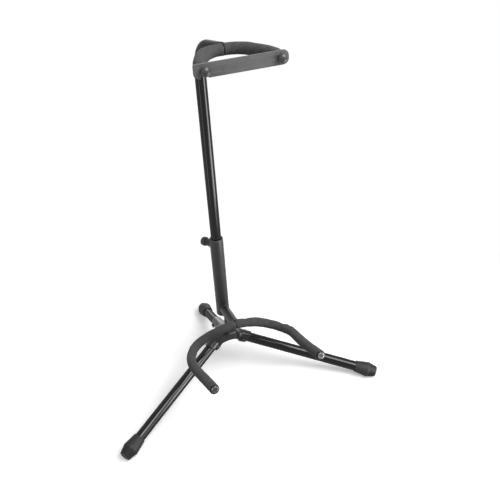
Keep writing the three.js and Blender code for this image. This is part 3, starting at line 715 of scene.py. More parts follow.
def vulcanised_strap_rubber(tree):
    """Die-cut vulcanised rubber sheet: mid grey, matt, with the faint calender grain of the sheet."""
    place = add_node(tree, "ShaderNodeTexCoord", "Object")
    calender = add_node(tree, "ShaderNodeTexNoise", "Fac", {
        "Vector": place, "Scale": blotches(0.8), "Detail": 3.0, "Roughness": 0.6,
    })
    bloom = add_node(tree, "ShaderNodeTexNoise", "Fac", {
        "Vector": place, "Scale": blotches(16.0), "Detail": 3.0,
    })
    streaks = add_node(tree, "ShaderNodeTexNoise", "Fac", {
        "Vector": add_node(tree, "ShaderNodeMapping", "Vector", {
            "Vector": place, "Scale": (1.0, 12.0, 12.0),
        }),
        "Scale": blotches(24.0), "Detail": 3.0, "Roughness": 0.6,
    })
    both = add_node(tree, "ShaderNodeMath", "Value", {0: bloom, 1: streaks}, operation="ADD")
    share = add_node(tree, "ShaderNodeMapRange", "Result", {
        "Value": both, "From Min": 0.75, "From Max": 1.25,
    })
    return add_node(tree, "ShaderNodeBsdfPrincipled", "BSDF", {
        "Base Color": add_node(tree, "ShaderNodeMix", MIX_RESULT, {
            MIX_FACTOR: share, MIX_FIRST: colour("strap", 0.8), MIX_SECOND: colour("strap", 1.2),
        }, data_type="RGBA"),
        "IOR": 1.52, "Specular IOR Level": 0.35,
        "Roughness": add_node(tree, "ShaderNodeMapRange", "Result", {
            **NOISE_BAND, "Value": bloom, "To Min": 0.6, "To Max": 0.75,
        }),
        "Normal": add_node(tree, "ShaderNodeBump", "Normal", {
            "Height": calender, "Strength": 0.4, "Distance": 0.05 * MM,
        }),
    })


def moulded_foot_rubber(tree):
    """Compression-moulded rubber of the foot caps: near black, dull, a little dusty where it meets the
    floor."""
    place = add_node(tree, "ShaderNodeTexCoord", "Object")
    mould = add_node(tree, "ShaderNodeTexNoise", "Fac", {
        "Vector": place, "Scale": blotches(0.8), "Detail": 2.0,
    })
    wear = add_node(tree, "ShaderNodeTexNoise", "Fac", {
        "Vector": place, "Scale": blotches(9.0), "Detail": 4.0,
    })
    height = add_node(tree, "ShaderNodeSeparateXYZ", "Z", {"Vector": place})
    low = add_node(tree, "ShaderNodeMapRange", "Result", {
        "Value": height, "From Max": 4.0 * MM, "To Min": 0.5, "To Max": 0.0,
    })
    dust = add_node(tree, "ShaderNodeMath", "Value", {0: low, 1: wear}, operation="MULTIPLY")
    return add_node(tree, "ShaderNodeBsdfPrincipled", "BSDF", {
        "Base Color": add_node(tree, "ShaderNodeMix", MIX_RESULT, {
            MIX_FACTOR: dust, MIX_FIRST: colour("foot"), MIX_SECOND: colour("foot", 6.0),
        }, data_type="RGBA"),
        "IOR": 1.52, "Specular IOR Level": 0.3,
        "Roughness": add_node(tree, "ShaderNodeMapRange", "Result", {
            **NOISE_BAND, "Value": wear, "To Min": 0.55, "To Max": 0.72,
        }),
        "Normal": add_node(tree, "ShaderNodeBump", "Normal", {
            "Height": mould, "Strength": 0.4, "Distance": 0.05 * MM,
        }),
    })


def moulded_black_abs(tree):
    """Injection-moulded ABS with an eroded mould texture: satin charcoal."""
    place = add_node(tree, "ShaderNodeTexCoord", "Object")
    erosion = add_node(tree, "ShaderNodeTexNoise", "Fac", {
        "Vector": place, "Scale": blotches(0.5), "Detail": 2.0,
    })
    flow = add_node(tree, "ShaderNodeTexNoise", "Fac", {
        "Vector": place, "Scale": blotches(7.0), "Detail": 2.0,
    })
    return add_node(tree, "ShaderNodeBsdfPrincipled", "BSDF", {
        "Base Color": add_node(tree, "ShaderNodeMix", MIX_RESULT, {
            MIX_FACTOR: flow, MIX_FIRST: colour("plastic", 0.88), MIX_SECOND: colour("plastic", 1.1),
        }, data_type="RGBA"),
        "IOR": 1.54, "Specular IOR Level": 0.34,
        "Roughness": add_node(tree, "ShaderNodeMapRange", "Result", {
            **NOISE_BAND, "Value": flow, "To Min": 0.36, "To Max": 0.46,
        }),
        "Normal": add_node(tree, "ShaderNodeBump", "Normal", {
            "Height": erosion, "Strength": 0.35, "Distance": 0.03 * MM,
        }),
    })


def zinc_plated_steel(tree):
    """Bright zinc plated on a rolled steel thread: pale, slightly cloudy metal."""
    cloud = add_node(tree, "ShaderNodeTexNoise", "Fac", {
        "Vector": add_node(tree, "ShaderNodeTexCoord", "Object"), "Scale": blotches(2.0), "Detail": 3.0,
    })
    return add_node(tree, "ShaderNodeBsdfPrincipled", "BSDF", {
        "Base Color": add_node(tree, "ShaderNodeMix", MIX_RESULT, {
            MIX_FACTOR: cloud, MIX_FIRST: colour("zinc", 0.8), MIX_SECOND: colour("zinc", 1.1),
        }, data_type="RGBA"),
        "Metallic": 1.0,
        "Roughness": add_node(tree, "ShaderNodeMapRange", "Result", {
            **NOISE_BAND, "Value": cloud, "To Min": 0.25, "To Max": 0.4,
        }),
    })


def bare_cut_steel(tree):
    """Sawn and deburred steel tube end where the coat has rubbed off: dull bright metal with coat left in
    spots."""
    rub = add_node(tree, "ShaderNodeTexNoise", "Fac", {
        "Vector": add_node(tree, "ShaderNodeTexCoord", "Object"), "Scale": blotches(1.2), "Detail": 3.0,
    })
    share = add_node(tree, "ShaderNodeMapRange", "Result", {
        "Value": rub, "From Min": 0.52, "From Max": 0.6,
    })
    return add_node(tree, "ShaderNodeBsdfPrincipled", "BSDF", {
        "Base Color": add_node(tree, "ShaderNodeMix", MIX_RESULT, {
            MIX_FACTOR: share, MIX_FIRST: colour("coat", 0.5), MIX_SECOND: colour("steel"),
        }, data_type="RGBA"),
        "Metallic": share, "Roughness": 0.3,
    })


def blackened_rivet_steel(tree):
    """Peened steel rivet under black oxide: dark satin metal, lighter on the struck dome."""
    strike = add_node(tree, "ShaderNodeTexNoise", "Fac", {
        "Vector": add_node(tree, "ShaderNodeTexCoord", "Object"), "Scale": blotches(1.5), "Detail": 2.0,
    })
    return add_node(tree, "ShaderNodeBsdfPrincipled", "BSDF", {
        "Base Color": add_node(tree, "ShaderNodeMix", MIX_RESULT, {
            MIX_FACTOR: strike, MIX_FIRST: colour("rivet", 0.7), MIX_SECOND: colour("rivet", 1.6),
        }, data_type="RGBA"),
        "Metallic": 0.7, "Roughness": 0.38,
        "Normal": add_node(tree, "ShaderNodeBump", "Normal", {
            "Height": strike, "Strength": 0.5, "Distance": 0.06 * MM,
        }),
    })


def matt_white_paper(tree):
    """Matt paper of the studio floor, with a faint fibre. Seen directly, it glows a little where the stand's
    shadow falls, and turns even white away from it. For all other light it is a mid grey table, which keeps
    the stand's undersides dark."""
    white_from, white_at = 0.25, 0.75
    place = add_node(tree, "ShaderNodeTexCoord", "Object")
    fibre = add_node(tree, "ShaderNodeTexNoise", "Fac", {
        "Vector": place, "Scale": blotches(6.0), "Detail": 2.0,
    })
    floor = bpy.context.scene.stand_studio.floor
    shade = add_node(tree, "ShaderNodeMix", MIX_RESULT, {
        MIX_FACTOR: fibre, MIX_FIRST: toned(floor), MIX_SECOND: toned(floor, 0.99),
    }, data_type="RGBA")
    paper = add_node(tree, "ShaderNodeBsdfDiffuse", "BSDF", {"Color": shade, "Roughness": 0.6})
    glow = add_node(tree, "ShaderNodeEmission", "Emission", {"Color": WHITE, "Strength": 0.3})
    near = add_node(tree, "ShaderNodeAddShader", "Shader", {0: paper, 1: glow})
    far = add_node(tree, "ShaderNodeEmission", "Emission", {"Color": WHITE, "Strength": 1.0})
    distance = add_node(tree, "ShaderNodeVectorMath", "Value", {0: place}, operation="LENGTH")
    share = add_node(tree, "ShaderNodeMapRange", "Result", {
        "Value": distance, "From Min": white_from, "From Max": white_at,
    })
    seen = add_node(tree, "ShaderNodeMixShader", "Shader", {0: share, 1: near, 2: far})
    table = add_node(tree, "ShaderNodeBsdfDiffuse", "BSDF", {"Color": (0.3, 0.3, 0.3, 1.0)})
    return add_node(tree, "ShaderNodeMixShader", "Shader", {0: seen_directly(tree), 1: table, 2: seen})


def seen_directly(tree):
    """1 for rays that show the surroundings themselves: from the camera, and through gloss or glass."""
    camera, glossy, through = (
        add_node(tree, "ShaderNodeLightPath", ray)
        for ray in ("Is Camera Ray", "Is Glossy Ray", "Is Transmission Ray")
    )
    first = add_node(tree, "ShaderNodeMath", "Value", {0: camera, 1: glossy}, operation="ADD")
    return add_node(
        tree, "ShaderNodeMath", "Value", {0: first, 1: through}, operation="ADD", use_clamp=True,
    )


# The pressed hub, meshed from a distance field

def joined_softly(first, second, reach):
    """The union of two distance fields, with a fillet."""
    share = np.clip(0.5 + 0.5 * (second - first) / reach, 0.0, 1.0)
    return second * (1 - share) + first * share - reach * share * (1 - share)


def kept_softly(first, second, reach):
    """The intersection of two distance fields, with a rounded edge."""
    return -joined_softly(-first, -second, reach)


def eased(value, low, high):
    share = np.clip((value - low) / (high - low), 0.0, 1.0)
    return share * share * (3 - 2 * share)


def hub_field(points):
    """Distance in millimetres to the hub's sheet, for points in the hub's frame."""
    web_front, web_bow, web_bow_half, web_half, web_back = 27.3, 6.7, 21.4, 26.0, 1.0
    web_lip, lip_front = 1.5, 16.0
    arch_radius, arch_drop, arch_front = 20.0, 17.0, 17.0
    brim_round, edge_round, corner_round, cut_round = 4.0, 1.2, 5.0, 1.0
    arm_end_zone, arm_blend, blend_low, blend_high = 30.0, 4.0, -40.0, 60.0
    web_press, slope_slack, lip_slack_share, deep_inside = 1.0, 1.5, 0.6, -99.0
    x, y, z = points[..., 0], points[..., 1], points[..., 2]
    press = in_mm(sizes().press_round)
    arms = []
    for side in LEG_AZIMUTHS:
        place = leg_place(side)
        arms.append([points @ place[:3, column] for column in range(3)])
    mass = None
    for across, height, along in arms:
        reach = np.sqrt(across ** 2 + np.maximum(height, 0) ** 2 + np.minimum(along, 0) ** 2)
        arm = reach - ARM_OUTSIDE
        mass = arm if mass is None else joined_softly(mass, arm, press)

    # The crown between the front arms, bowed in at its front. Dividing a field by its slope keeps it near a
    # distance.
    fall = CROWN_RISE - CROWN_BRIM
    share = eased(np.hypot(x, y + CROWN_FORWARD), CROWN_TOP_RADIUS, CROWN_FOOT_RADIUS)
    steep = 6 * fall / (CROWN_FOOT_RADIUS - CROWN_TOP_RADIUS) * share * (1 - share) / slope_slack
    crown = (z - CROWN_RISE + fall * share) / np.hypot(1, steep)
    bow = -web_front - web_bow * (1 - (x / web_bow_half) ** 2)
    front = (bow - y) / np.hypot(1, 2 * web_bow * x / web_bow_half ** 2)
    web = kept_softly(crown, front, brim_round)
    web = np.maximum(web, np.maximum(y - web_back, np.abs(x) - web_half))
    mass = joined_softly(mass, web, press + web_press)

    # The sheet is open below, along a line that follows each arm
    sheet = np.maximum(mass, -(mass + SHEET))
    weights = np.array([np.exp(np.clip(along, blend_low, blend_high) / arm_blend) for _, _, along in arms])
    floors = np.array([-ARM_SKIRT - height for _, height, _ in arms])
    bottom = (weights * floors).sum(0) / weights.sum(0)
    lip = (-WEB_DEPTH - web_lip - z) * np.where(y < -lip_front, 1.0, lip_slack_share)
    sheet = kept_softly(sheet, np.maximum(bottom, lip), edge_round)
    arch = arch_radius - np.hypot(x, z + arch_drop)
    sheet = kept_softly(sheet, np.where(y < -arch_front, arch, deep_inside), edge_round)

    # Each arm's end leans in, with its lower corner cut off, and has a hole for its rivet
    lean = ARM_BEVEL / (ARM_OUTSIDE + ARM_SKIRT)
    for across, height, along in arms:
        end = (along - ARM_LENGTH + lean * (ARM_OUTSIDE - height)) / math.hypot(1, lean)
        corner = kept_softly(end, -ARM_SKIRT - height, corner_round)
        far = along > arm_end_zone
        sheet = np.where(far, kept_softly(sheet, end, cut_round), sheet)
        sheet = np.where(far, kept_softly(sheet, corner, cut_round), sheet)
        hole = RIVET_HOLE_RADIUS - np.hypot(height, along - PIVOT_REACH)
        sheet = np.where(far, np.maximum(sheet, hole), sheet)
    return sheet


def surface_net(field, low, step):
    """Points and four-sided faces of the zero surface of a field on a grid."""
    shape = field.shape
    cells = tuple(size - 1 for size in shape)
    total, count = np.zeros((*cells, 3)), np.zeros(cells)
    crossings = []
    for axis in range(3):
        first = [slice(None)] * 3
        second = [slice(None)] * 3
        first[axis], second[axis] = slice(0, -1), slice(1, None)
        a, b = field[tuple(first)], field[tuple(second)]
        crossed = (a < 0) != (b < 0)
        spots = np.stack(np.meshgrid(*[np.arange(n, dtype=float) for n in a.shape], indexing="ij"), axis=-1)
        gap = np.where(crossed, a - b, 1.0)
        spots[..., axis] += np.where(crossed, a / gap, 0.0)
        crossings.append((crossed, a < 0))
        u, v = [other for other in range(3) if other != axis]
        for du in (0, 1):
            for dv in (0, 1):
                window = [slice(None)] * 3
                window[u] = slice(du, shape[u] - 1 + du)
                window[v] = slice(dv, shape[v] - 1 + dv)
                chosen = crossed[tuple(window)]
                total[chosen] += spots[tuple(window)][chosen]
                count[chosen] += 1
    used = count > 0
    numbers = np.full(cells, -1)
    numbers[used] = np.arange(used.sum())
    points = low + step * total[used] / count[used][:, None]
    faces = []
    for axis, (crossed, starts_inside) in enumerate(crossings):
        u, v = [other for other in range(3) if other != axis]
        inner = np.zeros_like(crossed)
        window = [slice(None)] * 3
        window[u], window[v] = slice(1, shape[u] - 1), slice(1, shape[v] - 1)
        inner[tuple(window)] = True
        places = np.argwhere(crossed & inner)
        inside = starts_inside[tuple(places.T)]
        corners = []
        for du, dv in ((1, 1), (0, 1), (0, 0), (1, 0)):
            spot = places.copy()
            spot[:, u] -= du
            spot[:, v] -= dv
            corners.append(numbers[tuple(spot.T)])
        quads = np.stack(corners, axis=1)
        turned = inside if axis != 1 else ~inside
        quads[~turned] = quads[~turned][:, ::-1]
        faces.append(quads)
    return points, np.concatenate(faces)


def smoothed(points, faces, rounds):
    """Evens a mesh by moving each point towards its neighbours and part of the way back."""
    forward_share, back_share = 0.5, -0.48
    pairs = np.concatenate([faces[:, [0, 1]], faces[:, [1, 2]], faces[:, [2, 3]], faces[:, [3, 0]]])
    pairs = np.unique(np.sort(pairs, axis=1), axis=0)
    degree = np.bincount(pairs.ravel(), minlength=len(points))[:, None]
    for turn in range(rounds):
        mean = np.zeros_like(points)
        np.add.at(mean, pairs[:, 0], points[pairs[:, 1]])
        np.add.at(mean, pairs[:, 1], points[pairs[:, 0]])
        pull = mean / np.maximum(degree, 1) - points
        points = points + pull * (forward_share if turn % 2 == 0 else back_share)
    return points


class STAND_OT_hub(Operator):
    """Builds the pressed-steel hub and its rivets."""

    bl_idname = "stand.hub"
    bl_label = "Pressed Hub and Rivets"

    def execute(self, context):
        low, spans = np.array([-52.0, -42.0, -28.0]), (104.0, 100.0, 52.0)
        step = in_mm(sizes().hub_grain)
        axes = [start + step * np.arange(int(span / step)) for start, span in zip(low, spans)]
        grid = np.stack(np.meshgrid(*axes, indexing="ij"), axis=-1)
        points, faces = surface_net(hub_field(grid), low, step)
        points = smoothed(points, faces, rounds=6)
        points[:, 2] = np.minimum(points[:, 2], CROWN_RISE)
        shape = points + HUB_PLACE, faces.tolist()
        add_piece("hub_pressing", WORLD, shape, semi_gloss_black_enamel, "base", ["hub_spider"], sharp=70.0)
        for side in LEG_AZIMUTHS:
            self.add_rivet(side)
        return {"FINISHED"}

    @staticmethod
    def add_rivet(side):
        seat, rise, brim, head, shank = ARM_OUTSIDE + GAP, 2.4, 0.3, 4.8, 3.0
        dome = [
            (head * math.cos(turn), seat + brim + (rise - brim) * math.sin(turn))
            for turn in np.linspace(0, math.pi / 2, 7)
        ]
        top = [(shank, seat), (head, seat), *dome]
        top[-1] = (0.0, seat + rise)
        profile = [(radius, -height) for radius, height in reversed(top)] + top
        across = leg_place(side) @ frame_at((0, 0, PIVOT_REACH), ACROSS, UP)
        add_piece(
            f"rivet_{side}", across, revolved(profile, sides=40), blackened_rivet_steel, "base",
            [f"leg_rivet_{side}"],
        )


class STAND_OT_legs(Operator):
    """Builds the three folding legs with their rubber caps."""

    bl_idname = "stand.legs"
    bl_label = "Legs and Foot Caps"

    def execute(self, context):
        for side, length in LEG_LENGTHS.items():
            self.add_tube(side, length)
            self.add_cap(side, length)
        return {"FINISHED"}

    @staticmethod
    def add_tube(side, length):
        """The tube's upper end is cut round, so that it turns under the arm's top as the leg folds."""
        turning_radius, cap_seat = 9.75, 6.3
        first_ring, second_ring = 6.0, 20.0
        end = length - cap_seat
        rounding = [
            (radius, PIVOT_REACH - math.sqrt(turning_radius ** 2 - radius ** 2))
            for radius in np.linspace(LEG_BORE, LEG_RADIUS, 4)
        ]
        heights = (PIVOT_REACH + first_ring, PIVOT_REACH + second_ring, length / 2, end)
        profile = [(LEG_BORE, end), *rounding, *((LEG_RADIUS, height) for height in heights)]
        place = leg_place(side)
        across = place @ frame_at((0, 0, PIVOT_REACH), ACROSS, UP)
        hole = rod(RIVET_HOLE_RADIUS, -LEG_RADIUS - OVERRUN, LEG_RADIUS + OVERRUN)
        add_piece(
            f"leg_{side}", place, revolved(profile, sides=72, closed=True), gloss_black_enamel, f"leg_{side}",
            [f"leg_tube_{side}"], cuts=[(across, hole)],
        )

    @staticmethod
    def add_cap(side, length):
        """The cap widens to a ridge, narrows over five grooves to its nose, and is flat where it stands."""
        bore, socket_back, mouth_back, mouth_radius = LEG_RADIUS + GAP, 6.0, 42.0, 11.0
        shoulder_back, shoulder_radius, nose_radius = 39.6, 11.3, 9.0
        first_groove, groove_pitch, groove_count = 13.8, 2.4, 5
        groove_shape = ((0.0, 0.0), (0.3, 0.7), (1.2, 0.7), (1.5, 0.0))
        steepness = (CAP_RIDGE_RADIUS - CAP_NOSE_RADIUS) / (CAP_RIDGE_BACK - CAP_NOSE_BACK)
        grooves = []
        for index in range(groove_count):
            for run, depth in groove_shape:
                back = first_groove - groove_pitch * index - run
                wall = CAP_RIDGE_RADIUS - steepness * (CAP_RIDGE_BACK - back)
                grooves.append((wall - depth, length - back))
        nose = len(grooves) + 6
        profile = softened([
            (0, length - socket_back), (bore, length - socket_back), (bore, length - mouth_back),
            (mouth_radius, length - mouth_back), (shoulder_radius, length - shoulder_back),
            (CAP_RIDGE_RADIUS, length - CAP_RIDGE_BACK), *grooves, (CAP_NOSE_RADIUS, length - CAP_NOSE_BACK),
            (nose_radius, length), (0, length),
        ], {2: 0.5, 3: 0.6, 4: 1.0, 5: 0.9, nose: 0.6, nose + 1: 0.6})
        points, faces = revolved(profile, sides=72)
        points = placed(leg_place(side), points)
        points[:, 2] = np.maximum(points[:, 2], 0.0)
        add_piece(
            f"foot_cap_{side}", WORLD, (points, faces), moulded_foot_rubber, f"leg_{side}", [f"foot_{side}"],
        )


class STAND_OT_lower_tube(Operator):
    """Builds the lower tube with its bush, boss and thumbscrew."""

    bl_idname = "stand.lower_tube"
    bl_label = "Lower Tube and Thumbscrew"

    def execute(self, context):
        waist_low, waist_high = 40.0, 140.0
        bolt_hole = CLAMP, rod(BOLT_HOLE_RADIUS, 0, LOWER_TUBE_RADIUS + OVERRUN)
        profile = softened([
            (LOWER_TUBE_BORE, 0), (LOWER_TUBE_RADIUS, 0), (LOWER_TUBE_RADIUS, waist_low),
            (LOWER_TUBE_RADIUS, waist_high), (LOWER_TUBE_RADIUS, LOWER_TUBE_LENGTH),
            (LOWER_TUBE_BORE, LOWER_TUBE_LENGTH),
        ], {0: 0.4, 1: 0.4, 4: 0.4, 5: 0.3})
        add_piece(
            "lower_mast_tube", MAST, revolved(profile, sides=80, closed=True), satin_powder_coat, "base",
            ["lower_tube"], cuts=[bolt_hole],
        )
        bush_depth, collar_height = 36.0, 2.75
        bore, outside = UPPER_TUBE_RADIUS + GAP, LOWER_TUBE_BORE - GAP
        foot, seat = LOWER_TUBE_LENGTH - bush_depth, LOWER_TUBE_LENGTH + TOUCH
        top = seat + collar_height
        profile = softened([
            (bore, foot), (outside, foot), (outside, seat), (LOWER_TUBE_RADIUS, seat),
            (LOWER_TUBE_RADIUS, top), (bore, top),
        ], {3: 0.3, 4: 1.6, 5: 0.5})
        add_piece(
            "mast_bush", MAST, revolved(profile, sides=80, closed=True), moulded_black_abs, "base",
            ["mast_bushing"], cuts=[bolt_hole],
        )
        self.add_boss()
        self.add_bolt()
        self.add_knob()
        return {"FINISHED"}

    @staticmethod
    def add_boss():
        radius, rim, top = 7.0, 0.5, LOWER_TUBE_RADIUS + BOSS_HEIGHT
        saddle = on_tube(CLAMP, MAST_PLACE, MAST_WAY, LOWER_TUBE_RADIUS + TOUCH)
        shape = saddle_pipe(CLAMP, radius, BOLT_HOLE_RADIUS, 56, saddle, level_at(top), rim)
        add_piece("clamp_nut", WORLD, shape, satin_powder_coat, "base", ["clamp_boss"])
        add_weld("clamp_nut_weld", CLAMP, radius, sides=90, edge=saddle)

    @staticmethod
    def add_bolt():
        low, high, pitch, radius = UPPER_TUBE_RADIUS + GAP, 30.2, 1.0, 3.0
        thread_depth, foot_bevel, head_bevel, run_in, run_out = 0.3, 0.6, 0.4, 0.6, 0.2
        heights = np.arange(low + run_in, high - run_out, pitch / 4)
        thread = [(radius - thread_depth * abs(((height / pitch) % 1) * 2 - 1), height) for height in heights]
        profile = [(0, low), (radius - foot_bevel, low), *thread, (radius - head_bevel, high), (0, high)]
        add_piece(
            "clamp_screw", CLAMP, revolved(profile, sides=36), zinc_plated_steel, "clamp_bolt",
            ["clamp_bolt"], sharp=60.0,
        )

    @staticmethod
    def add_knob():
        """The knob has eight flutes round its grip, above a plain neck."""
        radius, neck, height, neck_height, socket_depth, boss_gap = 8.5, 5.5, 12.0, 2.0, 9.0, 1.0
        crown_height, crown_fall, crown_shares = 3.5, 0.875, (0.8, 0.4)
        flute_radius, flute_out, flute_round, flute_low, flute_high = 2.0, 1.0, 0.5, 2.2, 3.0
        fluted_from, no_flute, half_flute_turn = 6.2, 99.0, math.pi / 8
        start = LOWER_TUBE_RADIUS + BOSS_HEIGHT + boss_gap
        top = start + height
        profile = softened([
            (BOLT_HOLE_RADIUS, start), (neck, start), (neck, start + neck_height),
            (radius, start + neck_height), (radius, top - crown_height),
            (radius * crown_shares[0], top - crown_fall), (radius * crown_shares[1], top), (0, top),
            (0, start + socket_depth), (BOLT_HOLE_RADIUS, start + socket_depth),
        ], {1: 0.4, 2: 0.6, 3: 0.8, 4: 1.8, 5: 1.6, 6: 1.6}, steps=6)

        def fluted(ring_radius, ring_height, turns):
            plain = np.full(len(turns), ring_radius)
            if ring_radius <= fluted_from:
                return plain
            centre = radius + flute_out
            offset = (turns + half_flute_turn) % (2 * half_flute_turn) - half_flute_turn
            reach = centre * np.sin(offset)
            hollow = centre * np.cos(offset) - np.sqrt(np.maximum(flute_radius ** 2 - reach ** 2, 0))
            hollow = np.where(np.abs(reach) < flute_radius, hollow, no_flute)
            cut = joined_softly(plain, hollow, flute_round)
            blend = eased(np.array(ring_height), start + flute_low, start + flute_high)
            return ring_radius + (np.minimum(cut, ring_radius) - ring_radius) * blend

        shape = revolved(profile, sides=128, closed=True, radius_of=fluted)
        add_piece("thumb_knob", CLAMP, shape, moulded_black_abs, "clamp_knob", ["clamp_knob"])


# Rods and sleeves along a bent path

def spline_through(points, count):
    """Points at even distances on a centripetal spline through points."""
    steps = 40
    points = [np.array(point, float) for point in points]
    points = [2 * points[0] - points[1], *points, 2 * points[-1] - points[-2]]
    dense = []
    for p0, p1, p2, p3 in zip(points, points[1:], points[2:], points[3:]):
        d0, d1, d2 = (np.linalg.norm(b - a) ** 0.5 for a, b in ((p0, p1), (p1, p2), (p2, p3)))
        t1 = ((p1 - p0) / d0 - (p2 - p0) / (d0 + d1) + (p2 - p1) / d1) * d1
        t2 = ((p2 - p1) / d1 - (p3 - p1) / (d1 + d2) + (p3 - p2) / d2) * d1
        for share in np.arange(steps) / steps:
            dense.append(
                p1 + t1 * share + (-3 * p1 + 3 * p2 - 2 * t1 - t2) * share ** 2
                + (2 * p1 - 2 * p2 + t1 + t2) * share ** 3
            )
    dense.append(points[-2])
    return evenly(np.array(dense), count)


def lengths_along(path):
    return np.concatenate([[0.0], np.cumsum(np.linalg.norm(np.diff(path, axis=0), axis=1))])


def at_lengths(path, lengths):
    run = lengths_along(path)
    return np.stack([np.interp(lengths, run, path[:, axis]) for axis in range(3)], axis=1)


def evenly(path, count):
    return at_lengths(path, np.linspace(0, lengths_along(path)[-1], count))


def mirrored(half):
    """A path from the left end to the right end, from its right half."""
    return np.concatenate([half[:0:-1] * np.array([-1.0, 1.0, 1.0]), half])


def fork_half():
    right = [
        (FORK_HALF_WIDTH * out, -FORK_REACH * ahead, FORK_DROP * rise) for out, ahead, rise in FORK_SHARES
    ]
    half_count = 200
    return spline_through(mirrored(np.array(right)), 2 * half_count + 1)[half_count:]


def yoke_half():
    steps, count = 24, 201
    points, heading = [np.zeros(3)], 0.0
    for radius, angle in YOKE_BENDS:
        start, begin = points[-1], heading
        for share in np.arange(1, steps + 1) / steps:
            heading = begin + math.radians(angle) * share
            points.append(start + radius * np.array([
                math.sin(heading) - math.sin(begin), math.cos(heading) - math.cos(begin), 0.0,
            ]))
    run = np.array([math.cos(heading), -math.sin(heading), 0.0])
    points.append(points[-1] + run * YOKE_END_STRAIGHT)
    return evenly(np.array(points), count)


def sleeve(half, side, seed, marks):
    """Points and faces of one foam sleeve, in its rod's frame. marks are pinches and swellings, each with its
    place along the rod, its length, depth, turn and spread."""
    station, sides, bend_window, edge, flare = 0.7, 48, 25, 1.3, 0.7
    looseness, bulge, least_mark = 0.1, 0.35, 0.002
    mark_low_share, mark_high_share = 0.6, 1.2
    fold_strains, bulge_strains, fold_drift, fold_drift_scale = (0.05, 0.2), (0.02, 0.2), 2.2, 0.11
    coarse_scale, middle_scale, fine_scale, middle_share, fine_wander = 0.07, 0.19, 0.9, 0.5, 0.05
    inner_margin, inner_step = 3, 8
    bore, radius = ROD_RADIUS + looseness, in_mm(sizes().sleeve_radius)
    uneven, depth, spacing = (
        in_mm(size) for size in (sizes().sleeve_unevenness, sizes().wrinkle_depth, sizes().wrinkle_spacing)
    )
    path = half * np.array([side, 1.0, 1.0])
    first, last = SLEEVE_MIDDLE_SETBACK, lengths_along(path)[-1] - SLEEVE_SETBACK
    places = np.linspace(first, last, int((last - first) / station))
    centres = at_lengths(path, places)
    tangents = tangents_of(centres)
    bends = np.gradient(tangents, axis=0) / np.gradient(places)[:, None]
    kernel = np.hanning(bend_window) / np.hanning(bend_window).sum()
    bends = np.stack([np.convolve(bends[:, axis], kernel, mode="same") for axis in range(3)], axis=1)
    turns = turns_round(sides)
    ways = [
        np.outer(np.cos(turns), across) + np.outer(np.sin(turns), other)
        for across, other in carried_sides(tangents, UP)
    ]
    rings = []
    for place, centre, way, bend in zip(places, centres, ways, bends):
        skin = centre + way * radius
        radii = np.full(sides, radius)

        # Folds on the inside of a bend
        strain = way @ bend * radius
        drift = noise.noise(Vector((place * fold_drift_scale, seed, 0.0)))
        phase = 2 * math.pi * place / spacing + fold_drift * drift
        radii -= depth * eased(strain, *fold_strains) * (0.5 + 0.5 * math.sin(phase))
        radii += bulge * eased(strain, *bulge_strains)

        # The wander of the extruded skin, in three sizes
        for corner in range(sides):
            spot = Vector(skin[corner])
            wander = noise.noise(spot * coarse_scale + Vector((seed, 0, 0)))
            wander += middle_share * noise.noise(spot * middle_scale)
            radii[corner] += uneven * wander + fine_wander * noise.noise(spot * fine_scale)
        for mark_place, length, drop, turn, spread in marks:
            reach = math.exp(-((place - mark_place) / length) ** 2)
            if reach > least_mark:
                away = np.abs((turns - math.radians(turn) + math.pi) % (2 * math.pi) - math.pi)
                low, high = math.radians(spread) * mark_low_share, math.radians(spread) * mark_high_share
                radii -= drop * reach * (1 - eased(away, low, high))
        near_end = min(place - first, last - place)
        if near_end < edge:
            radii -= edge - math.sqrt(max(edge ** 2 - (edge - near_end) ** 2, 0))
        rings.append(centre + way * radii[:, None])
    end = len(places) - 1
    rings.append(centres[end] + (bore + flare) * ways[end])
    inner = (*range(end - inner_margin, inner_margin, -inner_step), 0)
    rings += [centres[index] + bore * ways[index] for index in inner]
    return lofted(rings)


def add_sleeve(rod_name, side, body, place, half, seed, marks, notch):
    """Adds one foam sleeve of a rod, with a notch for the tube that meets the rod at its middle."""
    shape = sleeve(half, SIDES[side], seed, marks)
    foam = add_piece(
        f"{rod_name}_sleeve_{side}", place, shape, closed_cell_foam, body, [f"{rod_name}_foam_{side}"],
        sharp=50.0, cuts=[notch],
    )
    return foam


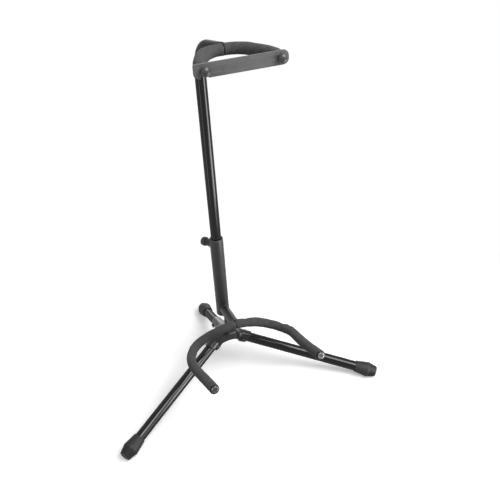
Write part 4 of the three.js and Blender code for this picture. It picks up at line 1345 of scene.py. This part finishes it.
class STAND_OT_fork(Operator):
    """Builds the stem, the riser and the padded body fork."""

    bl_idname = "stand.fork"
    bl_label = "Stem, Riser and Fork"

    # The right sleeve has slipped outwards: it is pinched near the middle, kinked at its outer bend, and sags
    # in front of that. The left one lies even. Turns go from the top over the inside of the fork.
    marks = {
        "left": ((1.0, 2.0, 0.5, 0, 70), (96.0, 20.0, -0.3, 90, 80), (150.0, 24.0, 0.3, 0, 80)),
        "right": (
            (1.0, 2.0, 0.7, 0, 80), (24.0, 7.0, 1.1, 0, 110), (58.0, 20.0, -0.7, 0, 100),
            (74.0, 1.2, 0.6, 0, 50), (112.0, 7.0, 1.0, 330, 100), (125.0, 4.5, -1.2, 330, 110),
            (132.0, 1.5, 1.9, 0, 170), (139.0, 4.0, -0.6, 0, 110), (196.0, 42.0, 1.2, 300, 90),
            (196.0, 42.0, -1.8, 120, 90), (232.0, 3.0, 0.4, 0, 120),
        ),
    }
    seeds = {"left": 11.0, "right": 18.0}

    def execute(self, context):
        self.add_stem()
        self.add_riser()
        lip, rim_margin, rim_reach, notch_overrun = 3.4, 1.0, 0.5, 20.0
        end_shade_radius, end_shade_reach = 16.0, 0.9
        half = fork_half()
        path = placed(FORK, mirrored(half))
        shape = pipe(path, ROD_RADIUS, ROD_BORE, sides=40, first=UP, lip=lip)
        fork = add_piece("fork_bar", WORLD, shape, satin_powder_coat, "base", ["fork_rod"])
        ends = {
            "left": (path[0], unit(path[0] - path[1])), "right": (path[-1], unit(path[-1] - path[-2])),
        }
        cut_ends(fork, bare_cut_steel, ends.values(), ROD_RADIUS + rim_margin, rim_reach)
        for side, (point, way) in ends.items():
            self.add_plug(side, frame_at(point, way, UP))
        notch_foot = -FORK_FORWARD - notch_overrun
        notch = STEM, rod(STEM_RADIUS + GAP, notch_foot, GAP - STEM_END_SETBACK, sides=64)
        for side, (point, way) in ends.items():
            foam = add_sleeve("fork", side, "base", FORK, half, self.seeds[side], self.marks[side], notch)
            # Painted shade: each sleeve's cut end faces take the near-black foot rubber, so that they look
            # shaded
            foam_end = (point - way * SLEEVE_SETBACK, way)
            cut_ends(foam, moulded_foot_rubber, [foam_end], end_shade_radius, end_shade_reach)
        return {"FINISHED"}

    @staticmethod
    def add_plug(side, place):
        """A plug just inside the rod's end, slightly domed."""
        radius, foot, edge, crown = 4.5, -8.8, -0.9, -0.6
        profile = softened([(0, foot), (radius, foot), (radius, edge), (0, crown)], {2: 0.8})
        add_piece(
            f"fork_end_plug_{side}", place, revolved(profile, sides=40), moulded_black_abs, "base",
            [f"fork_plug_{side}"],
        )

    @staticmethod
    def add_stem():
        saddle = on_tube(STEM, MAST_PLACE, MAST_WAY, LOWER_TUBE_RADIUS + TOUCH)
        mouth = behind_rod(STEM_END_SETBACK, ROD_RADIUS + GAP)
        shape = saddle_pipe(STEM, STEM_RADIUS, STEM_BORE, 64, saddle, mouth)
        add_piece("fork_stem", WORLD, shape, satin_powder_coat, "base", ["stem_tube"])
        add_weld("stem_weld", STEM, STEM_RADIUS, sides=140, edge=saddle)

    @staticmethod
    def add_riser():
        foot = level_at(HUB_HEIGHT + CROWN_RISE + TOUCH)
        place = frame_at((0.0, HUB_PLACE[1] - CROWN_FORWARD, 0.0), UP, -FORWARD)
        slope = math.radians(STEM_SLOPE)

        def under_stem(radius, turns):
            x, y = radius * np.cos(turns), place[1, 3] + radius * np.sin(turns)
            axis = FORK_PLACE[2] - (y - FORK_PLACE[1]) * math.tan(slope)
            return axis - np.sqrt((STEM_RADIUS + TOUCH) ** 2 - x ** 2) / math.cos(slope)

        shape = saddle_pipe(place, RISER_RADIUS, RISER_BORE, 56, foot, under_stem)
        add_piece("hub_post", WORLD, shape, satin_powder_coat, "base", ["hub_riser"])
        add_weld("hub_post_weld_foot", place, RISER_RADIUS, sides=110, edge=foot, share=0.55)
        add_weld("hub_post_weld_head", place, RISER_RADIUS, sides=110, edge=under_stem, lift=-0.2)


class STAND_OT_mast(Operator):
    """Builds the upper tube with its gooseneck and the plug in its foot."""

    bl_idname = "stand.mast"
    bl_label = "Upper Tube"

    def execute(self, context):
        straight = (UPPER_TUBE_FOOT, 120.0, 160.0, 176.0, 240.0, 320.0, 400.0, 450.0)
        before_yoke = (50.0, 30.0, 14.0, 0.0)
        stations = [(0.0, 0.0, height) for height in straight]
        for turn in np.linspace(0, NECK_TURN, 33):
            stations.append((
                0.0, -NECK_BEND_RADIUS * (1 - math.cos(turn)),
                NECK_BEND_START + NECK_BEND_RADIUS * math.sin(turn),
            ))
        run = np.array([0.0, -math.sin(NECK_TURN), math.cos(NECK_TURN)])
        yoke = np.array([0.0, -NECK_REACH, YOKE_HEIGHT])
        stations += [tuple(yoke - run * back) for back in before_yoke]
        shape = pipe(
            np.array(stations), UPPER_TUBE_RADIUS, UPPER_TUBE_BORE, sides=80, first=ACROSS, rim=0.4,
            last_shift=behind_rod(NECK_END_SETBACK, ROD_RADIUS + GAP),
        )
        add_piece("upper_mast_tube", MAST, shape, gloss_black_enamel, "mast", ["upper_tube"])
        self.add_plug()
        return {"FINISHED"}

    @staticmethod
    def add_plug():
        """The plug in the tube's foot, whose flange stops the mast at the bush."""
        flange_play, flange_height, spigot_height = 0.4, 2.7, 12.0
        spigot, flange = UPPER_TUBE_BORE - GAP, LOWER_TUBE_BORE - flange_play
        flange_top, spigot_top = UPPER_TUBE_FOOT - GAP, UPPER_TUBE_FOOT + spigot_height
        foot = flange_top - flange_height
        profile = softened([
            (0, foot), (flange, foot), (flange, flange_top), (spigot, flange_top), (spigot, spigot_top),
            (0, spigot_top),
        ], {1: 0.6, 2: 0.3, 4: 0.8})
        add_piece(
            "mast_foot_plug", MAST, revolved(profile, sides=64), moulded_black_abs, "mast", ["mast_end_plug"],
        )


class STAND_OT_yoke(Operator):
    """Builds the padded yoke with its studs and domed caps."""

    bl_idname = "stand.yoke"
    bl_label = "Yoke, Studs and Caps"

    # The left sleeve stands off the bar at its bend
    marks = {"left": ((40.0, 17.0, -2.7, 90, 75),), "right": ((30.0, 12.0, -0.5, 270, 80),)}
    seeds = {"left": 31.0, "right": 40.0}

    def execute(self, context):
        stud_height = 5.0
        half = yoke_half()
        shape = pipe(placed(YOKE, mirrored(half)), ROD_RADIUS, ROD_BORE, sides=40, first=YOKE[:3, 2])
        add_piece("yoke_bar", WORLD, shape, satin_powder_coat, "mast", ["yoke_rod"])
        neck_way = (0, -math.sin(NECK_TURN), math.cos(NECK_TURN))
        neck_place = MAST @ frame_at((0, -NECK_REACH, YOKE_HEIGHT), neck_way, UP)
        notch = neck_place, rod(UPPER_TUBE_RADIUS + GAP, -NECK_RUN, GAP - NECK_END_SETBACK, sides=64)
        for side in SIDES:
            add_sleeve("yoke", side, "mast", YOKE, half, self.seeds[side], self.marks[side], notch)
        for side, way in SIDES.items():
            place = YOKE @ frame_at(half[-1] * np.array([way, 1.0, 1.0]), FORWARD, UP)
            tip = STRAP_BACK + in_mm(sizes().strap_thickness) + GAP + stud_height
            self.add_stud(side, place, tip)
            self.add_cap(side, place, tip)
        return {"FINISHED"}

    @staticmethod
    def add_stud(side, place, tip):
        foot, plug, shank, front = -6.0, 4.5, 3.0, 0.1
        back = STRAP_BACK - GAP
        profile = softened([
            (0, foot), (plug, foot), (plug, front), (ROD_RADIUS, front), (ROD_RADIUS, back), (shank, back),
            (shank, tip), (0, tip),
        ], {3: 0.3, 4: 0.4, 6: 0.4})
        add_piece(
            f"stud_{side}", place, revolved(profile, sides=48), moulded_black_abs, "mast",
            [f"strap_stud_{side}"],
        )

    @staticmethod
    def add_cap(side, place, tip):
        """A cap pressed on the stud: a short neck, a rim and a dome."""
        bore, neck, radius, rim, neck_height, cap_height = 3.3, 4.8, 7.0, 1.6, 2.2, 10.0
        back = STRAP_BACK + in_mm(sizes().strap_thickness) + GAP
        brim = back + neck_height
        dome = brim + rim
        height = cap_height - neck_height - rim
        crown = [
            (radius * math.cos(turn), dome + height * math.sin(turn))
            for turn in np.linspace(0, math.pi / 2, 13)
        ]
        crown[-1] = (0.0, dome + height)
        profile = softened([
            (bore, back), (neck, back), (neck, brim), (radius - rim / 2, brim), (radius, brim + rim / 2),
            *crown, (0, tip + GAP), (bore, tip + GAP),
        ], {1: 0.4, 2: 0.5, 3: 0.5, 4: 0.5})
        add_piece(
            f"domed_cap_{side}", place, revolved(profile, sides=64, closed=True), moulded_black_abs, "mast",
            [f"strap_cap_{side}"],
        )


def arc(centre, radius, start, end, steps):
    return [
        (centre[0] + radius * math.cos(turn), centre[1] + radius * math.sin(turn))
        for turn in np.radians(np.linspace(start, end, steps))
    ]


def drawn_in(outline, inset):
    """A closed outline, counter-clockwise, moved inwards."""
    sharpest = 0.4
    points = np.array(outline)
    before, after = points - np.roll(points, 1, 0), np.roll(points, -1, 0) - points
    before /= np.linalg.norm(before, axis=1)[:, None]
    after /= np.linalg.norm(after, axis=1)[:, None]
    inward = np.stack([-(before[:, 1] + after[:, 1]), before[:, 0] + after[:, 0]], axis=1)
    length = np.maximum((inward ** 2).sum(1), sharpest)
    return points + inward * (2 * inset / length)[:, None]


class STAND_OT_strap(Operator):
    """Builds the rubber safety strap."""

    bl_idname = "stand.strap"
    bl_label = "Safety Strap"

    def execute(self, context):
        end = yoke_half()[-1]
        place = YOKE @ frame_at((0, end[1], 0), FORWARD, UP)
        shape = self.sheet(*self.outlines(end[0]))
        bow, settle = 0.25, -0.12
        points = shape[0]
        points[:, 2] += bow * np.cos(points[:, 0] / end[0] * math.pi / 2) + settle
        add_piece(
            "rubber_strap", place, shape, vulcanised_strap_rubber, "strap", ["safety_strap"], sharp=45.0,
        )
        return {"FINISHED"}

    @staticmethod
    def outlines(x):
        """The strap's outline, with the open slot of its left end, and the hole of its right end. The studs
        stand at -x and x."""
        half, slot, mouth = STRAP_HALF_HEIGHT, 3.3, 5.5
        right_round, top_round, low_round = 8.0, 3.0, 7.0
        past_right, past_left, edge_step, top_step = 11.0, 14.5, 6.0, 9.0
        right, left = x + past_right - right_round, -x - past_left
        outline = [(-x + mouth, -half)]
        outline += [(share, -half) for share in np.linspace(-x + mouth + edge_step, right - edge_step, 12)]
        outline += arc((right, right_round - half), right_round, -90, 0, 10)
        outline += arc((right, half - right_round), right_round, 0, 90, 10)
        outline += [(share, half) for share in np.linspace(right - edge_step, left + top_step, 12)]
        outline += arc((left + top_round, half - top_round), top_round, 90, 180, 7)
        outline += arc((left + low_round, low_round - half), low_round, 180, 270, 9)
        outline += [(-x - mouth, -half)]
        outline += arc((-x, 0), slot, 180, 0, 17)
        return outline, arc((x, 0), slot, 360, 0, 41)[:-1]

    @staticmethod
    def sheet(*outlines):
        """Points and faces of a flat sheet with rounded edges, from its outline and its hole's."""
        thick, edge = in_mm(sizes().strap_thickness), in_mm(sizes().strap_edge)
        levels = [
            (edge - edge * math.cos(turn), edge - edge * math.sin(turn))
            for turn in np.linspace(0, math.pi / 2, 4)
        ]
        layers = levels[::-1] + [(inset, thick - height) for inset, height in levels]
        points, faces, loops = [], [], []
        for inset, height in layers:
            row = []
            for loop in outlines:
                moved = drawn_in(loop, inset)
                row.append(range(len(points), len(points) + len(moved)))
                points += [(px, py, STRAP_BACK + height) for px, py in moved]
            loops.append(row)
        for low, high in zip(loops, loops[1:]):
            for a, b in zip(low, high):
                for corner in range(len(a)):
                    after = (corner + 1) % len(a)
                    faces.append((a[corner], a[after], b[after], b[corner]))
        for row in (loops[0], loops[-1]):
            flat = [[Vector(points[index]) for index in loop] for loop in row]
            numbers = [index for loop in row for index in loop]
            faces += [tuple(numbers[corner] for corner in face) for face in geometry.tessellate_polygon(flat)]
        return np.array(points), faces


class STAND_OT_studio(Operator):
    """Sets up the white floor, the soft lamps and the camera."""

    bl_idname = "stand.studio"
    bl_label = "Floor, Lamps and Camera"

    def execute(self, context):
        scene = context.scene
        scene.view_settings.view_transform = "Standard"
        self.add_floor()
        self.add_surroundings(scene)
        self.add_lamps(scene.stand_studio)
        self.add_camera(scene)
        return {"FINISHED"}

    @staticmethod
    def add_floor():
        size, step = 14000.0, 500.0
        ticks = np.arange(-size / 2, size / 2 + 1, step)
        points = [(px, py, 0.0) for py in ticks for px in ticks]
        row = len(ticks)
        faces = [
            (a, a + 1, a + row + 1, a + row)
            for y in range(row - 1) for a in range(y * row, y * row + row - 1)
        ]
        floor = plain_object("studio_floor", points, faces)
        floor.data.materials.append(finish_of(matt_white_paper))

    @staticmethod
    def add_surroundings(scene):
        """White all round where it is seen, and a weak even light on everything else."""
        world = bpy.data.worlds.new("white_studio")
        world.use_nodes = True
        tree = world.node_tree
        tree.nodes.clear()
        fill, seen = (
            add_node(tree, "ShaderNodeBackground", "Background", {"Color": WHITE, "Strength": strength})
            for strength in (scene.stand_studio.fill, 1.0)
        )
        mix = add_node(tree, "ShaderNodeMixShader", "Shader", {0: seen_directly(tree), 1: fill, 2: seen})
        add_node(tree, "ShaderNodeOutputWorld", inputs={"Surface": mix})
        scene.world = world

    @staticmethod
    def add_lamp(name, spot, target, width, height, power):
        data = bpy.data.lights.new(name, "AREA")
        data.shape, data.size, data.size_y, data.energy = "RECTANGLE", width, height, power
        lamp = bpy.data.objects.new(name, data)
        lamp.location = spot
        lamp.rotation_mode = "QUATERNION"
        lamp.rotation_quaternion = (Vector(target) - Vector(spot)).to_track_quat("-Z", "Y")
        lamp.visible_camera = False
        bpy.context.scene.collection.objects.link(lamp)
        return lamp

    def add_lamps(self, studio):
        for name, (spot, target, width) in LAMPS.items():
            self.add_lamp(name, spot, target, width, width, getattr(studio, name))
        for name, (spot, target, width, height, share) in GLEAMS.items():
            power = math.pi * width * height * (studio.gleam * share)
            self.add_lamp(name, spot, target, width, height, power).visible_diffuse = False

    @staticmethod
    def add_camera(scene):
        azimuth, elevation, roll = (
            math.radians(angle) for angle in (CAMERA_AZIMUTH, CAMERA_ELEVATION, CAMERA_ROLL)
        )
        back = np.array([
            math.sin(azimuth) * math.cos(elevation), -math.cos(azimuth) * math.cos(elevation),
            math.sin(elevation),
        ])
        right = np.array([math.cos(azimuth), math.sin(azimuth), 0.0])
        up = np.cross(back, right)
        matrix = np.eye(4)
        matrix[:3, 0] = right * math.cos(roll) + up * math.sin(roll)
        matrix[:3, 1] = up * math.cos(roll) - right * math.sin(roll)
        matrix[:3, 2] = back
        matrix[:3, 3] = (np.array(CAMERA_PLACE) + np.array([0.0, MAST_Y, 0.0])) * MM
        data = bpy.data.cameras.new("photo_camera")
        data.lens, data.sensor_width = scene.stand_studio.focal_length, SENSOR_WIDTH
        camera = bpy.data.objects.new("photo_camera", data)
        camera.matrix_world = Matrix(matrix.tolist())
        scene.collection.objects.link(camera)
        scene.camera = camera


BUILDERS = (
    STAND_OT_hub, STAND_OT_legs, STAND_OT_lower_tube, STAND_OT_fork, STAND_OT_mast, STAND_OT_yoke,
    STAND_OT_strap, STAND_OT_studio,
)


class STAND_PT_panel(Panel):
    """Lists the stand's builders, sizes and finishes."""

    bl_idname = "STAND_PT_panel"
    bl_label = "Guitar Stand"
    bl_space_type = "VIEW_3D"
    bl_region_type = "UI"
    bl_category = "Stand"

    def draw(self, context):
        column = self.layout.column()
        for builder in BUILDERS:
            column.operator(builder.bl_idname)
        for group in (context.scene.stand_sizes, context.scene.stand_finishes, context.scene.stand_studio):
            column.separator()
            for name in group.bl_rna.properties.keys():
                if name not in ("rna_type", "name"):
                    column.prop(group, name)


CLASSES = (StandSizes, StandFinishes, StandStudio, *BUILDERS, STAND_PT_panel)


def register():
    for cls in CLASSES:
        bpy.utils.register_class(cls)
    bpy.types.Scene.stand_sizes = PointerProperty(type=StandSizes)
    bpy.types.Scene.stand_finishes = PointerProperty(type=StandFinishes)
    bpy.types.Scene.stand_studio = PointerProperty(type=StandStudio)


def unregister():
    del bpy.types.Scene.stand_studio
    del bpy.types.Scene.stand_finishes
    del bpy.types.Scene.stand_sizes
    for cls in reversed(CLASSES):
        bpy.utils.unregister_class(cls)


def main():
    register()
    bpy.ops.stand.studio()
    bpy.ops.stand.hub()
    bpy.ops.stand.legs()
    bpy.ops.stand.lower_tube()
    bpy.ops.stand.fork()
    bpy.ops.stand.mast()
    bpy.ops.stand.yoke()
    bpy.ops.stand.strap()


if __name__ == "__main__":
    main()
